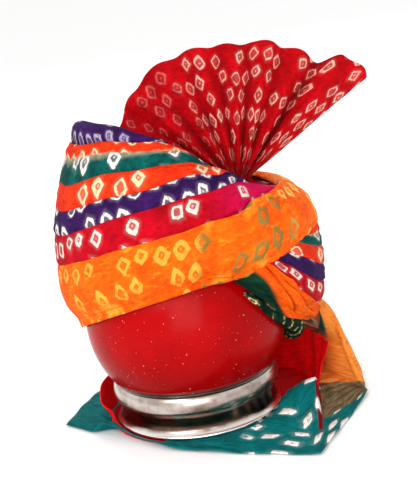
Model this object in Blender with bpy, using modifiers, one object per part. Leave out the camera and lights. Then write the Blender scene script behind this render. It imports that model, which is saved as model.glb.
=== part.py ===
"""A tied turban with a pleated fan and a long tail, on a round pot that stands mouth down.

Metres, +Z up. The wearer's front is -Y and the wearer's left is +X. The origin is on the floor, under the pot's axis.
A turn is an angle about that axis, in degrees: 0 at the front, 90 at the wearer's left, -90 at the wearer's right.
"""

import functools
import math
from collections import namedtuple

import bmesh
import bpy
import numpy as np
from mathutils import Vector

# Driving sizes
POT_RADIUS = 0.094
POT_WALL = 0.0015
POT_NECK_RADIUS = 0.078
COLLAR_HEIGHT = 0.0434
COLLAR_RADIUS = 0.0785
COLLAR_WALL = 0.0015
SEAT_GAP = 0.0003

HEAD_CLEARANCE = 0.0008
BRIM_PAD = 0.020
RIM_RISE = 0.103
CREST_RADIUS = 0.005
CREST_SPAN = 0.2
WELL_OUT = 0.62
WELL_SINK = 0.004
CROWN_WALL = 0.006
WELL_FILL = 0.45
CROWN_DOME = 0.004
CORE_INSET = 0.0010

CLOTH_GAP = 0.0007
CLOTH_EDGE = 0.0015
CLOTH_BODY = 0.0030
OVER_LIFT = 0.0060
TUCK_LIFT = 0.0032
CROWN_CLOTH = 0.0020
CROWN_LAP = 0.012
CROWN_UNDER_FROM = 36
CROWN_SLOPE = 0.008

ROLL_RADIUS = 0.0085
ROLL_TWISTS = 3.5
ROLL_LOBE = 0.14

FAN_REACH = 0.126
FAN_WALL = 0.0018
FAN_ROOT_WALL = 0.0060
FAN_FOLD = 0.0062
FAN_TURN = 22.0
FAN_ROOT_INSET = 0.024
FAN_ROOT_RISE = 0.012
FAN_FACING = -35.0
FAN_STEM = 0.013
FAN_STEM_TAPER = 0.45
FAN_STEM_LEAN = 0.006
FAN_STEM_KEPT = 0.4
FAN_THICK_FROM = 0.35
FAN_THICK_SHARE = 0.6
FAN_RISE = 0.004

TAIL_WALL = 0.0020
TAIL_OUT = 0.066
TAIL_LINE = -40.0
TAIL_HUMP = 0.016

STEPS = 30

# Heights that follow from them
STEP_TURN = 360 / STEPS
POT_FOOT = TAIL_WALL + SEAT_GAP
POT_MID = POT_FOOT + COLLAR_HEIGHT + math.sqrt(POT_RADIUS**2 - POT_NECK_RADIUS**2)
POT_TOP = POT_MID + POT_RADIUS
POT_HEIGHT = POT_TOP - POT_FOOT
HEAD_RADIUS = POT_RADIUS + HEAD_CLEARANCE
TAIL_SPREAD = POT_RADIUS + TAIL_OUT

# The wound form, one row a turn: the brim's height as a share of POT_HEIGHT, the brim's padding as a share of
# BRIM_PAD, four radii up the wall as shares of HEAD_RADIUS, and the rim's height over the pot as a share of RIM_RISE
Section = namedtuple("Section", "turn brim pad low middle high rim_out rim")
SECTIONS = [
    Section(0, 0.649, 0.62, 1.139, 1.150, 1.076, 0.897, 0.372),
    Section(12, 0.528, 0.57, 1.181, 1.192, 1.134, 0.960, 0.235),
    Section(24, 0.470, 0.61, 1.229, 1.255, 1.208, 1.013, 0.158),
    Section(36, 0.422, 0.71, 1.276, 1.308, 1.266, 1.065, 0.090),
    Section(48, 0.375, 0.81, 1.319, 1.350, 1.324, 1.113, 0.040),
    Section(66, 0.327, 0.81, 1.329, 1.371, 1.340, 1.129, 0.010),
    Section(90, 0.301, 0.73, 1.313, 1.361, 1.319, 1.118, 0.005),
    Section(120, 0.296, 0.61, 1.266, 1.319, 1.276, 1.076, 0.060),
    Section(150, 0.327, 0.41, 1.203, 1.255, 1.203, 0.992, 0.185),
    Section(180, 0.380, 0.21, 1.150, 1.197, 1.129, 0.897, 0.400),
    Section(210, 0.449, 0.09, 1.118, 1.139, 1.044, 0.807, 0.700),
    Section(234, 0.512, 0.06, 1.113, 1.081, 0.949, 0.754, 0.872),
    Section(258, 0.591, 0.06, 1.108, 1.086, 0.955, 0.759, 0.900),
    Section(282, 0.665, 0.06, 1.102, 1.092, 0.965, 0.781, 0.892),
    Section(306, 0.720, 0.06, 1.092, 1.092, 0.976, 0.796, 0.806),
    Section(330, 0.752, 0.06, 1.071, 1.092, 1.007, 0.828, 0.660),
    Section(348, 0.760, 0.06, 1.044, 1.087, 1.055, 0.870, 0.470),
]

# The top edge of each course of cloth up the wall, 0 at the brim and 1 at the rim, as it winds once round and on
# past its start. Over 1 it lies over the rim.
Courses = namedtuple("Courses", "turn orange crimson purple_low flame_low teal flame_up purple_up")
COURSES = [
    Courses(-12, 0.20, 0.28, 0.35, 0.42, 0.48, 0.53, 0.58),
    Courses(0, 0.34, 0.42, 0.49, 0.56, 0.62, 0.67, 0.71),
    Courses(12, 0.32, 0.43, 0.52, 0.59, 0.65, 0.70, 0.75),
    Courses(24, 0.21, 0.33, 0.46, 0.57, 0.63, 0.70, 0.79),
    Courses(36, 0.15, 0.27, 0.395, 0.525, 0.61, 0.70, 0.82),
    Courses(48, 0.12, 0.26, 0.37, 0.51, 0.61, 0.71, 0.86),
    Courses(72, 0.14, 0.28, 0.40, 0.52, 0.63, 0.75, 0.95),
    Courses(110, 0.19, 0.33, 0.45, 0.57, 0.68, 0.80, 1.09),
    Courses(150, 0.23, 0.38, 0.50, 0.62, 0.73, 0.85, 1.09),
    Courses(190, 0.28, 0.43, 0.56, 0.67, 0.79, 0.89, 1.09),
    Courses(230, 0.34, 0.50, 0.625, 0.75, 0.87, 0.94, 1.09),
    Courses(252, 0.345, 0.495, 0.61, 0.74, 0.865, 0.93, 1.09),
    Courses(280, 0.37, 0.54, 0.655, 0.785, 0.90, 0.957, 1.09),
    Courses(303, 0.418, 0.60, 0.71, 0.84, 0.937, 0.99, 1.09),
    Courses(320, 0.47, 0.67, 0.79, 0.90, 0.99, 1.05, 1.09),
    Courses(337, 0.555, 0.77, 0.90, 0.98, 1.06, 1.09, 1.09),
    Courses(350, 0.65, 0.88, 0.97, 1.06, 1.09, 1.09, 1.09),
    Courses(360, 0.80, 0.963, 1.06, 1.09, 1.09, 1.09, 1.09),
    Courses(372, 0.93, 1.05, 1.09, 1.09, 1.09, 1.09, 1.09),
    Courses(384, 1.00, 1.09, 1.09, 1.09, 1.09, 1.09, 1.09),
    Courses(396, 1.05, 1.09, 1.09, 1.09, 1.09, 1.09, 1.09),
    Courses(420, 1.09, 1.09, 1.09, 1.09, 1.09, 1.09, 1.09),
    Courses(492, 1.06, 1.09, 1.09, 1.09, 1.09, 1.09, 1.09),
]
COURSE_OVER_RIM = 1.09
COURSE_LAP = 0.055
COURSE_LAP_SHARE = 0.35
COURSE_LAP_LEAST = 0.15
COURSE_LEAST = 0.03
COURSE_SHOWN = 0.3
COURSE_OVER_LAPS = 1.3
COURSE_OVER_SHARE = 0.35

# Where the lowest course's lower edge runs, and how far it is lifted over the cloth that it crosses
Sweep = namedtuple("Sweep", "turn foot over top tuck")
SWEEP = [
    Sweep(-12, 0.00, 0, 0, 0),
    Sweep(336, 0.00, 0, 0, 0),
    Sweep(348, 0.02, 1, 0.37, 0),
    Sweep(360, 0.30, 1, 0.37, 0),
    Sweep(372, 0.51, 1, 0.37, 0),
    Sweep(384, 0.63, 1, 0.37, 0),
    Sweep(396, 0.70, 1, 0.37, 0),
    Sweep(408, 0.75, 1, 0.45, 0),
    Sweep(420, 0.77, 1, 0.45, 1),
    Sweep(432, 0.77, 1, 0.60, 1),
    Sweep(444, 0.76, 1, 1.00, 1),
    Sweep(480, 0.80, 1, 1.00, 1),
    Sweep(492, 0.88, 1, 1.00, 1),
]

Course = namedtuple("Course", "name column start end rows colour")
WOUND = [
    Course("band_orange", "orange", -12, 492, 7, (1.0, 0.19, 0.01)),
    Course("band_crimson", "crimson", 0, 396, 5, (0.62, 0.0, 0.03)),
    Course("band_purple_lower", "purple_low", 0, 372, 5, (0.045, 0.006, 0.11)),
    Course("band_flame_lower", "flame_low", 0, 360, 5, (0.85, 0.035, 0.008)),
    Course("band_teal", "teal", 0, 348, 5, (0.0, 0.10, 0.085)),
    Course("band_flame_upper", "flame_up", 0, 336, 5, (0.85, 0.035, 0.008)),
    Course("band_purple_upper", "purple_up", 0, 324, 5, (0.045, 0.006, 0.11)),
]

# The twisted roll under the brim: its height as a share of POT_HEIGHT and its thickness as a share of ROLL_RADIUS
Roll = namedtuple("Roll", "turn height size")
ROLL = [
    Roll(-4, 0.668, 0.22),
    Roll(0, 0.630, 0.34),
    Roll(5, 0.575, 0.44),
    Roll(12, 0.508, 0.56),
    Roll(22, 0.450, 0.72),
    Roll(34, 0.388, 0.88),
    Roll(44, 0.334, 1.00),
    Roll(50, 0.310, 0.62),
]

# The fan's folds: the angle of each crease, its length as a share of FAN_REACH, and how far it stands forward
Fold = namedtuple("Fold", "angle reach forward")
FOLDS = [
    Fold(150, 0.83, 0.0),
    Fold(144, 0.88, 0.9),
    Fold(137, 0.90, -0.8),
    Fold(129, 0.95, 1.0),
    Fold(121, 0.96, -1.0),
    Fold(112, 0.995, 1.0),
    Fold(105, 0.965, -0.9),
    Fold(98, 0.985, 1.0),
    Fold(91, 0.955, -1.0),
    Fold(84, 0.965, 0.9),
    Fold(77, 0.965, -1.0),
    Fold(70, 1.00, 1.0),
    Fold(64, 0.965, -0.9),
    Fold(57, 0.995, 0.8),
    Fold(49, 0.960, -1.5),
    Fold(44, 1.105, 1.0),
    Fold(38, 1.125, 0.7),
    Fold(32, 1.095, 0.2),
]

# The tail on the floor, from its left end to its right: its near and far edges as shares of TAIL_SPREAD, along and
# across the tail's line
Spread = namedtuple("Spread", "near_along near_across far_along far_across")
SPREAD = [
    Spread(-0.806, 0.016, -0.545, 0.656),
    Spread(-0.610, -0.190, -0.460, 0.680),
    Spread(-0.450, -0.338, -0.375, 0.700),
    Spread(-0.206, -0.563, -0.190, 0.725),
    Spread(0.028, -0.680, 0.000, 0.740),
    Spread(0.300, -0.800, 0.190, 0.740),
    Spread(0.600, -0.916, 0.375, 0.720),
    Spread(0.790, -0.556, 0.620, 0.640),
    Spread(0.981, -0.194, 0.940, 0.310),
]
HUMP_AT = (0.645, -0.195)
HUMP_SIZE = (0.138, 0.210)

# The fall, down its lower part: its height as a share of POT_MID, and four places from front to back as shares of
# TAIL_SPREAD, along and across the tail's line
Drop = namedtuple("Drop", "height front front_middle back_middle back")
DROPS = [
    Drop(0.66, (0.775, 0.160), (0.850, 0.130), (0.845, 0.320), (0.660, 0.550)),
    Drop(0.33, (0.760, 0.270), (0.915, 0.040), (0.920, 0.240), (0.690, 0.540)),
    Drop(0.13, (0.755, 0.270), (0.955, -0.040), (0.965, 0.160), (0.740, 0.470)),
    Drop(0.00, (0.750, 0.250), (0.970, -0.140), (0.975, 0.090), (0.780, 0.430)),
]
# The fall's upper part lies on the wound courses: four turns from front to back, and a place up the wall
Lie = namedtuple("Lie", "up front front_middle back_middle back")
LIES = [
    Lie(0.84, 72, 84, 96, 108),
    Lie(0.72, 72, 84, 96, 108),
    Lie(0.60, 72, 84, 96, 108),
    Lie(0.48, 72, 84, 96, 108),
    Lie(0.36, 72, 84, 96, 108),
    Lie(0.25, 66, 78, 91, 104),
]
FALL_LIFT = 0.0064
FALL_STAND_OFF = 0.0022

# The red fold that stands round the back of the pot's foot: the radii of its foot and top as shares of POT_RADIUS,
# its height as a share of POT_MID
Stand = namedtuple("Stand", "foot_turn top_turn foot_out top_out height")
STANDS = [
    Stand(-92, -92, 0.885, 0.895, 0.060),
    Stand(-112, -112, 0.895, 0.935, 0.150),
    Stand(-132, -132, 0.905, 0.975, 0.250),
    Stand(-156, -156, 0.940, 1.020, 0.300),
    Stand(-180, -180, 0.980, 1.060, 0.340),
    Stand(-204, -204, 1.020, 1.095, 0.360),
    Stand(-228, -228, 1.055, 1.130, 0.360),
    Stand(-252, -252, 1.095, 1.170, 0.350),
    Stand(-276, -276, 1.150, 1.235, 0.350),
    Stand(-294, -294, 1.190, 1.300, 0.460),
    Stand(-308, -304, 1.200, 1.350, 0.500),
    Stand(-318, -313.5, 1.205, 1.360, 0.505),
]
STAND_WALL = 0.0020
STAND_GAP = 0.0014
STAND_CLIMB = 1.5


def smooth(places, values, at):
    """The value at one place of a smooth curve through the points, which never swings past them."""
    places = np.asarray(places, float)
    values = np.asarray(values, float)
    rises = np.diff(values) / np.diff(places)
    before, after = rises[:-1], rises[1:]
    product = before * after
    slopes = np.zeros(len(places))
    slopes[1:-1] = np.where(product > 0, 2 * product / np.where(product > 0, before + after, 1), 0)
    slopes[0], slopes[-1] = rises[0], rises[-1]
    at = float(np.clip(at, places[0], places[-1]))
    i = int(np.clip(np.searchsorted(places, at, side="right") - 1, 0, len(places) - 2))
    width = places[i + 1] - places[i]
    u = (at - places[i]) / width
    rise = (1 + 2 * u) * (1 - u) ** 2 * values[i] + u**2 * (3 - 2 * u) * values[i + 1]
    return float(rise + width * (u * (1 - u) ** 2 * slopes[i] - u**2 * (1 - u) * slopes[i + 1]))


def read(table, column, turn):
    """A column of a table that winds, at a turn."""
    return smooth([row.turn for row in table], [getattr(row, column) for row in table], turn)


def read_round(table, column, turn):
    """A column of a table that closes on itself, at a turn."""
    turns = [row.turn + lap for lap in (-360, 0, 360) for row in table]
    values = [getattr(row, column) for row in table] * 3
    return smooth(turns, values, turn % 360)


def polar(turn, out, height):
    angle = math.radians(turn)
    return Vector((out * math.sin(angle), -out * math.cos(angle), height))


def head_out(height):
    """The radius of the hollow that the pot fills: its sphere, and straight down below its middle."""
    above = max(height - POT_MID, 0)
    return math.sqrt(max(HEAD_RADIUS**2 - above**2, 0))


@functools.lru_cache(maxsize=None)
def wall_of(turn):
    """The wound form's section at a turn, as three curves: places up the wall, radii and heights."""
    brim = POT_FOOT + POT_HEIGHT * read_round(SECTIONS, "brim", turn)
    rim = POT_TOP + RIM_RISE * read_round(SECTIONS, "rim", turn)
    brim_out = head_out(brim) + BRIM_PAD * read_round(SECTIONS, "pad", turn)
    outs = [brim_out] + [HEAD_RADIUS * read_round(SECTIONS, name, turn) for name in Section._fields[3:7]]
    return brim, rim, outs


@functools.lru_cache(maxsize=None)
def outline_at(turn, up):
    """Radius and height of the wound form: up is 0 at the brim, 1 at the rim, 1.2 inside it and 2 at the crown."""
    brim, rim, outs = wall_of(turn)
    quarters = (0, 0.25, 0.5, 0.75, 1)
    if up <= 1:
        return smooth(quarters, outs, up), brim + (rim - brim) * up
    step = 0.001
    lean = math.atan2(smooth(quarters, outs, 1 - step) - outs[-1], (rim - brim) * step)
    middle_out = outs[-1] - CREST_RADIUS * math.cos(lean)
    middle_up = rim - CREST_RADIUS * math.sin(lean)
    crest = 1 + CREST_SPAN
    if up <= crest:
        angle = lean + (math.pi - lean) * (up - 1) / CREST_SPAN
        return middle_out + CREST_RADIUS * math.cos(angle), middle_up + CREST_RADIUS * math.sin(angle)
    inner = middle_out - CREST_RADIUS
    floor_out = WELL_OUT * inner
    dome = POT_MID + math.sqrt(HEAD_RADIUS**2 - floor_out**2) + CROWN_WALL
    floor = dome + WELL_FILL * (middle_up - dome)
    crown = POT_TOP + CROWN_WALL + CROWN_DOME
    places = (crest, 1.3, 1.45, 1.65, 2.0)
    inner_outs = (inner, inner - 0.2 * CREST_RADIUS, inner - CREST_RADIUS, floor_out, 0)
    heights = (middle_up, 0.6 * middle_up + 0.4 * floor, floor + WELL_SINK, floor, crown)
    return smooth(places, inner_outs, up), smooth(places, heights, up)


@functools.lru_cache(maxsize=None)
def wound(turn, up, lift):
    """A point that stands off the wound form by a lift."""
    turn = turn % 360
    step = 0.002
    out, height = outline_at(turn, up)
    if up >= 2:
        return polar(turn, 0, height + lift)
    out_before, height_before = outline_at(turn, max(up - step, 0))
    out_after, height_after = outline_at(turn, min(up + step, 2))
    along = Vector((out_after - out_before, height_after - height_before)).normalized()
    return polar(turn, out + lift * along.y, height - lift * along.x)


def material_of(name, colour, roughness, metallic=0.0):
    material = bpy.data.materials.new(name)
    material.use_nodes = True
    shader = material.node_tree.nodes["Principled BSDF"]
    shader.inputs["Base Color"].default_value = (*colour, 1)
    shader.inputs["Roughness"].default_value = roughness
    shader.inputs["Metallic"].default_value = metallic
    return material


def add_mesh(name, mesh_maker, material):
    """A new object in the turban's collection, whose mesh the bmesh gives."""
    mesh = bpy.data.meshes.new(name)
    mesh_maker.to_mesh(mesh)
    mesh_maker.free()
    mesh.materials.append(material)
    obj = bpy.data.objects.new(name, mesh)
    turban.objects.link(obj)
    return obj


def loft(name, sections, material, closed_section, closed_path):
    """A closed body through sections of the same number of points. An open section runs from the axis to the axis."""
    maker = bmesh.new()
    rows = [[maker.verts.new(point) for point in section] for section in sections]
    count = len(sections[0])
    for i in range(len(rows) if closed_path else len(rows) - 1):
        first, second = rows[i], rows[(i + 1) % len(rows)]
        for j in range(count if closed_section else count - 1):
            k = (j + 1) % count
            maker.faces.new((first[j], first[k], second[k], second[j]))
    if closed_section and not closed_path:
        maker.faces.new(rows[0])
        maker.faces.new(rows[-1])
    bmesh.ops.remove_doubles(maker, verts=maker.verts, dist=1e-6)
    bmesh.ops.triangulate(maker, faces=maker.faces)
    bmesh.ops.recalc_face_normals(maker, faces=maker.faces)
    obj = add_mesh(name, maker, material)
    obj.data.shade_smooth()
    obj.data.set_sharp_from_angle(angle=math.radians(40))


def sheet(name, rows, wall, material, outward):
    """A sheet of cloth through rows of points, given its wall by Solidify on the side that outward points to."""
    maker = bmesh.new()
    grid = [[maker.verts.new(point) for point in row] for row in rows]
    for above, below in zip(grid, grid[1:]):
        for j in range(len(above) - 1):
            maker.faces.new((above[j], above[j + 1], below[j + 1], below[j]))
    bmesh.ops.recalc_face_normals(maker, faces=maker.faces)
    middle = maker.faces[:][len(maker.faces) // 2]
    maker.normal_update()
    if middle.normal.dot(outward) < 0:
        bmesh.ops.reverse_faces(maker, faces=maker.faces)
    obj = add_mesh(name, maker, material)
    solidify = obj.modifiers.new("Wall", "SOLIDIFY")
    solidify.thickness = wall
    solidify.offset = 1
    obj.data.shade_smooth()


def turned(name, profile, material):
    """A turned body from a closed profile of radii and heights, that runs down its outer side."""
    maker = bmesh.new()
    points = [maker.verts.new((0, -out, height)) for out, height in profile]
    for first, second in zip(points, points[1:] + points[:1]):
        maker.edges.new((first, second))
    obj = add_mesh(name, maker, material)
    screw = obj.modifiers.new("Turn", "SCREW")
    screw.steps = screw.render_steps = STEPS
    screw.use_merge_vertices = True
    screw.merge_threshold = 0.0001
    screw.use_smooth_shade = True
    return obj


def arc(radius, rows):
    """Radii and heights of the pot's round wall, from the crown down to the collar."""
    low = math.asin((POT_MID - POT_FOOT - COLLAR_HEIGHT - SEAT_GAP) / radius)
    angles = [math.pi / 2 - (math.pi / 2 + low) * i / rows for i in range(1, rows + 1)]
    return [(0, POT_MID + radius)] + [(radius * math.cos(a), POT_MID + radius * math.sin(a)) for a in angles]


def open_seam(obj):
    """Takes the profile's edge along the axis away, because a turned wall has none there."""
    maker = bmesh.new()
    maker.from_mesh(obj.data)
    seam = [edge for edge in maker.edges if all(abs(v.co.x) + abs(v.co.y) < 1e-7 for v in edge.verts)]
    bmesh.ops.delete(maker, geom=seam, context="EDGES")
    maker.to_mesh(obj.data)
    maker.free()


def make_pot():
    """The round body of the pot, a hollow shell whose open mouth stands on the collar."""
    material = material_of("pot red", (0.55, 0.0, 0.004), 0.25)
    outer = arc(POT_RADIUS, 12)
    inner = arc(POT_RADIUS - POT_WALL, 6)
    body = turned("pot_body", outer + inner[::-1], material)
    open_seam(body)


def make_collar():
    """The steel collar under the pot: a groove, a bulged band, a hollow waist and a flared lip."""
    material = material_of("collar steel", (0.55, 0.50, 0.45), 0.18, 1.0)
    shape = (
        (0.955, 1.00),
        (0.940, 0.96),
        (0.965, 0.91),
        (0.990, 0.82),
        (1.000, 0.70),
        (0.990, 0.58),
        (0.962, 0.48),
        (0.935, 0.38),
        (0.925, 0.26),
        (0.935, 0.16),
        (0.965, 0.09),
        (0.990, 0.05),
        (0.985, 0.00),
    )
    outer = [(COLLAR_RADIUS * out, POT_FOOT + COLLAR_HEIGHT * up) for out, up in shape]
    inner = [(COLLAR_RADIUS * out - COLLAR_WALL, POT_FOOT + COLLAR_HEIGHT * up) for out, up in shape[::-3]]
    turned("pot_collar", outer + inner, material)


def make_core():
    """The wound form under the courses: many turns of folded cloth round the pot, with a well over the crown."""
    material = material_of("wound cloth", (0.55, 0.12, 0.03), 0.9)
    ups = (0.05, 0.15, 0.27, 0.39, 0.51, 0.63, 0.75, 0.87, 0.95, 1.02, 1.09, 1.16, 1.22, 1.32, 1.45, 1.65, 1.85, 2.0)
    rows = 6
    first_rise = math.radians(3)
    sections = []
    for i in range(STEPS):
        turn = i * STEP_TURN
        outside = [wound(turn, up, -CORE_INSET) for up in ups]
        foot = outside[0].z
        low = math.asin(min(max(foot - POT_MID, 0) / HEAD_RADIUS, 1)) + first_rise
        angles = [low + (math.pi / 2 - low) * j / rows for j in range(rows)]
        inside = [polar(turn, head_out(foot), foot)]
        inside += [polar(turn, HEAD_RADIUS * math.cos(a), POT_MID + HEAD_RADIUS * math.sin(a)) for a in angles]
        inside.append(Vector((0, 0, POT_TOP + HEAD_CLEARANCE)))
        sections.append(inside[::-1] + outside)
    loft("wound_core", sections, material, closed_section=False, closed_path=True)


def course_top(column, turn):
    return min(read(COURSES, column, turn), COURSE_OVER_RIM)


def course_width(place, turn):
    """How much of the wall a course shows at a turn."""
    course = WOUND[place]
    if place == 0:
        return course_top(course.column, turn) - read(SWEEP, "foot", turn)
    return course_top(course.column, turn) - course_top(WOUND[place - 1].column, turn)


def course_lap(place, turn):
    """How far a course goes under the one below it."""
    widths = (course_width(place, turn), course_width(place - 1, turn))
    return max(min(COURSE_LAP, COURSE_LAP_SHARE * min(widths)), COURSE_LAP_LEAST * COURSE_LAP)


def course_section(place, turn):
    """A course's section at a turn: thin where the course below covers it, and lifted over the course above."""
    course = WOUND[place]
    lap = course_lap(place, turn) if place else 0.5 * COURSE_LAP
    lap_above = course_lap(place + 1, turn) if place + 1 < len(WOUND) else 0.5 * COURSE_LAP
    foot = course_top(WOUND[place - 1].column, turn) - lap if place else read(SWEEP, "foot", turn)
    top = max(course_top(course.column, turn), foot + COURSE_LEAST)
    shown = foot + min(lap, COURSE_SHOWN * (top - foot))
    over = top - min(COURSE_OVER_LAPS * lap_above, COURSE_OVER_SHARE * (top - foot))
    count = course.rows - 4
    ups = [foot, shown] + [shown + (over - shown) * (i + 1) / (count + 1) for i in range(count)] + [over, top]
    lap_lift = CLOTH_EDGE + CLOTH_GAP
    inner = [0, 0] + [lap_lift * (i + 1) / (count + 1) for i in range(count)] + [lap_lift, lap_lift]
    if place == 0:
        crossing = read(SWEEP, "over", turn)
        at_top = read(SWEEP, "top", turn)
        raised = [OVER_LIFT * crossing] * (course.rows - 1) + [OVER_LIFT * crossing * at_top]
        tucked = TUCK_LIFT * read(SWEEP, "tuck", turn)
        for i, share in enumerate((1, 1, 0.6)):
            raised[i] += tucked * share
        inner = [lift * (1 - crossing) + more for lift, more in zip(inner, raised)]
    outer = [lift + CLOTH_BODY for lift in inner]
    outer[0] = inner[0] + CLOTH_EDGE
    outer[1] = inner[1] + CLOTH_EDGE
    outer[-1] = inner[-1] + CLOTH_EDGE
    outer[-2] = inner[-2] + 0.5 * (CLOTH_EDGE + CLOTH_BODY)
    under = [wound(turn, up, CLOTH_GAP + lift) for up, lift in zip(ups, inner)]
    shown_side = [wound(turn, up, CLOTH_GAP + lift) for up, lift in zip(ups, outer)]
    return under + shown_side[::-1]


def make_courses():
    """The seven coloured courses, each a long strip of folded cloth wound once round the head and up to the knot."""
    for place, course in enumerate(WOUND):
        material = material_of(course.name + " cloth", course.colour, 0.85)
        count = round((course.end - course.start) / STEP_TURN)
        turns = [course.start + STEP_TURN * i for i in range(count + 1)]
        sections = [course_section(place, turn) for turn in turns]
        loft(course.name, sections, material, closed_section=True, closed_path=False)


def make_crown():
    """The cloth over the crown: it lines the well inside the rim and turns over the crest to meet the courses."""
    material = material_of("crown cloth", (0.60, 0.0, 0.02), 0.9)
    sections = []
    inside = [1.16, 1.22, 1.32, 1.45, 1.65, 1.85, 2.0]
    for i in range(STEPS):
        turn = i * STEP_TURN
        edge = max(course_top("purple_up", turn), COURSE_OVER_RIM - CROWN_SLOPE * max(turn - CROWN_UNDER_FROM, 0))
        ups = [edge + CROWN_LAP + (inside[0] - edge) * share for share in (0, 0.5)] + inside
        under = [wound(turn, up, CLOTH_GAP) for up in ups]
        over = [wound(turn, up, CLOTH_GAP + CROWN_CLOTH) for up in ups]
        sections.append(under[::-1] + over)
    loft("crown_cloth", sections, material, closed_section=False, closed_path=True)


def make_roll():
    """The end of the cloth twisted into a roll, which runs down the brim's edge from the front to the left ear."""
    material = material_of("roll cloth", (0.01, 0.09, 0.05), 0.85)
    first, last = ROLL[0].turn, ROLL[-1].turn
    count = 15
    sides = 8
    middles = []
    for i in range(count):
        turn = first + (last - first) * i / (count - 1)
        size = ROLL_RADIUS * read(ROLL, "size", turn)
        height = POT_FOOT + POT_HEIGHT * read(ROLL, "height", turn)
        out = math.sqrt((POT_RADIUS + size + SEAT_GAP) ** 2 - (height - POT_MID) ** 2)
        middles.append((polar(turn, out, height), size, turn))
    sections = []
    for i, (middle, size, turn) in enumerate(middles):
        along = (middles[min(i + 1, count - 1)][0] - middles[max(i - 1, 0)][0]).normalized()
        out = polar(turn, 1, 0)
        out = (out - along * out.dot(along)).normalized()
        across = along.cross(out)
        twist = 2 * math.pi * ROLL_TWISTS * i / (count - 1)
        ring = []
        for side in range(sides):
            angle = 2 * math.pi * side / sides
            lobe = size * (1 - ROLL_LOBE + ROLL_LOBE * math.cos(2 * (angle - twist)))
            ring.append(middle + lobe * (math.cos(angle) * out + math.sin(angle) * across))
        sections.append(ring)
    loft("brim_roll", sections, material, closed_section=True, closed_path=False)


def make_fan():
    """The pleated fan: starched cloth folded to and fro, gathered to a stem that is tucked behind the rim."""
    material = material_of("fan cloth", (0.60, 0.0, 0.02), 0.8)
    facing = math.radians(FAN_FACING)
    side = Vector((math.cos(facing), math.sin(facing), 0))
    front = Vector((math.sin(facing), -math.cos(facing), 0))
    _, rim, outs = wall_of(FAN_TURN)
    root = polar(FAN_TURN, outs[-1] - FAN_ROOT_INSET, rim + FAN_ROOT_RISE)
    floor = max(wound(FAN_TURN, up, CLOTH_GAP + CROWN_CLOTH).z for up in (1.45, 1.65))
    inward = polar(FAN_TURN, -FAN_STEM_LEAN, floor + SEAT_GAP - root.z)
    stations = (0.13, 0.30, 0.50, 0.70, 0.86, 1.0)
    sections = []
    for i, fold in enumerate(FOLDS):
        angle = math.radians(fold.angle)
        spread = FAN_STEM * (2 * i / (len(FOLDS) - 1) - 1)
        faces = []
        for half in (-0.5, 0.5):
            line = [root + side * FAN_STEM_TAPER * spread + inward + front * half * FAN_ROOT_WALL]
            line.append(root + side * spread + front * half * FAN_ROOT_WALL)
            for station in stations:
                reach = FAN_REACH * fold.reach * station
                fold_out = FAN_FOLD * fold.forward * station
                thick = FAN_THICK_SHARE * max(0, 1 - station / FAN_THICK_FROM)
                wall = FAN_WALL + (FAN_ROOT_WALL - FAN_WALL) * thick
                place = root + side * (reach * math.cos(angle) + spread * (1 - station) * FAN_STEM_KEPT)
                place += Vector((0, 0, reach * math.sin(angle) + FAN_RISE * (1 - station)))
                line.append(place + front * (fold_out + half * wall))
            faces.append(line)
        sections.append(faces[0] + faces[1][::-1])
    loft("pleated_fan", sections, material, closed_section=True, closed_path=False)


def tail_point(along, across, height):
    """A point in shares of the tail's spread, along and across its line."""
    line = math.radians(TAIL_LINE)
    x = TAIL_SPREAD * (along * math.cos(line) - across * math.sin(line))
    y = TAIL_SPREAD * (along * math.sin(line) + across * math.cos(line))
    return Vector((x, y, height))


def hump_height(point):
    """How high the spread cloth stands up at the fold by the pot's right."""
    middle = tail_point(*HUMP_AT, 0)
    line = math.radians(TAIL_LINE)
    dx, dy = point.x - middle.x, point.y - middle.y
    along = (dx * math.cos(line) + dy * math.sin(line)) / (TAIL_SPREAD * HUMP_SIZE[0])
    across = (-dx * math.sin(line) + dy * math.cos(line)) / (TAIL_SPREAD * HUMP_SIZE[1])
    far = min(math.hypot(along, across), 1)
    return TAIL_HUMP * math.cos(math.pi / 2 * far) ** 2


def make_spread():
    """The tail spread out on the floor under the pot, which the pot's foot holds down."""
    material = material_of("tail cloth", (0.0, 0.17, 0.18), 0.85)
    rows = []
    count = 19
    across_count = 16
    places = range(len(SPREAD))
    for i in range(count):
        at = (len(SPREAD) - 1) * i / (count - 1)
        near_along, near_across, far_along, far_across = (
            smooth(places, [getattr(row, name) for row in SPREAD], at) for name in Spread._fields
        )
        near = tail_point(near_along, near_across, 0)
        far = tail_point(far_along, far_across, 0)
        row = [near.lerp(far, j / (across_count - 1)) for j in range(across_count)]
        rows.append([point + Vector((0, 0, hump_height(point))) for point in row])
    sheet("tail_spread", rows, TAIL_WALL, material, Vector((0, 0, 1)))


def make_fall():
    """The tail where it comes out from under the last course, hangs over the others and reaches the floor."""
    material = material_of("fall cloth", (0.95, 0.28, 0.04), 0.85)
    rows = []
    for i, lie in enumerate(LIES):
        lift = FALL_LIFT + (FALL_STAND_OFF if i == len(LIES) - 1 else 0)
        rows.append([wound(turn, lie.up, lift) for turn in lie[1:]])
    for drop in DROPS:
        height = POT_FOOT + CLOTH_GAP + drop.height * (POT_MID - POT_FOOT)
        row = [tail_point(*place, height) for place in drop[1:]]
        rows.append([point + Vector((0, 0, hump_height(point))) for point in row])
    sheet("tail_fall", rows, TAIL_WALL, material, polar(75, 1, 0.3))


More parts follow.
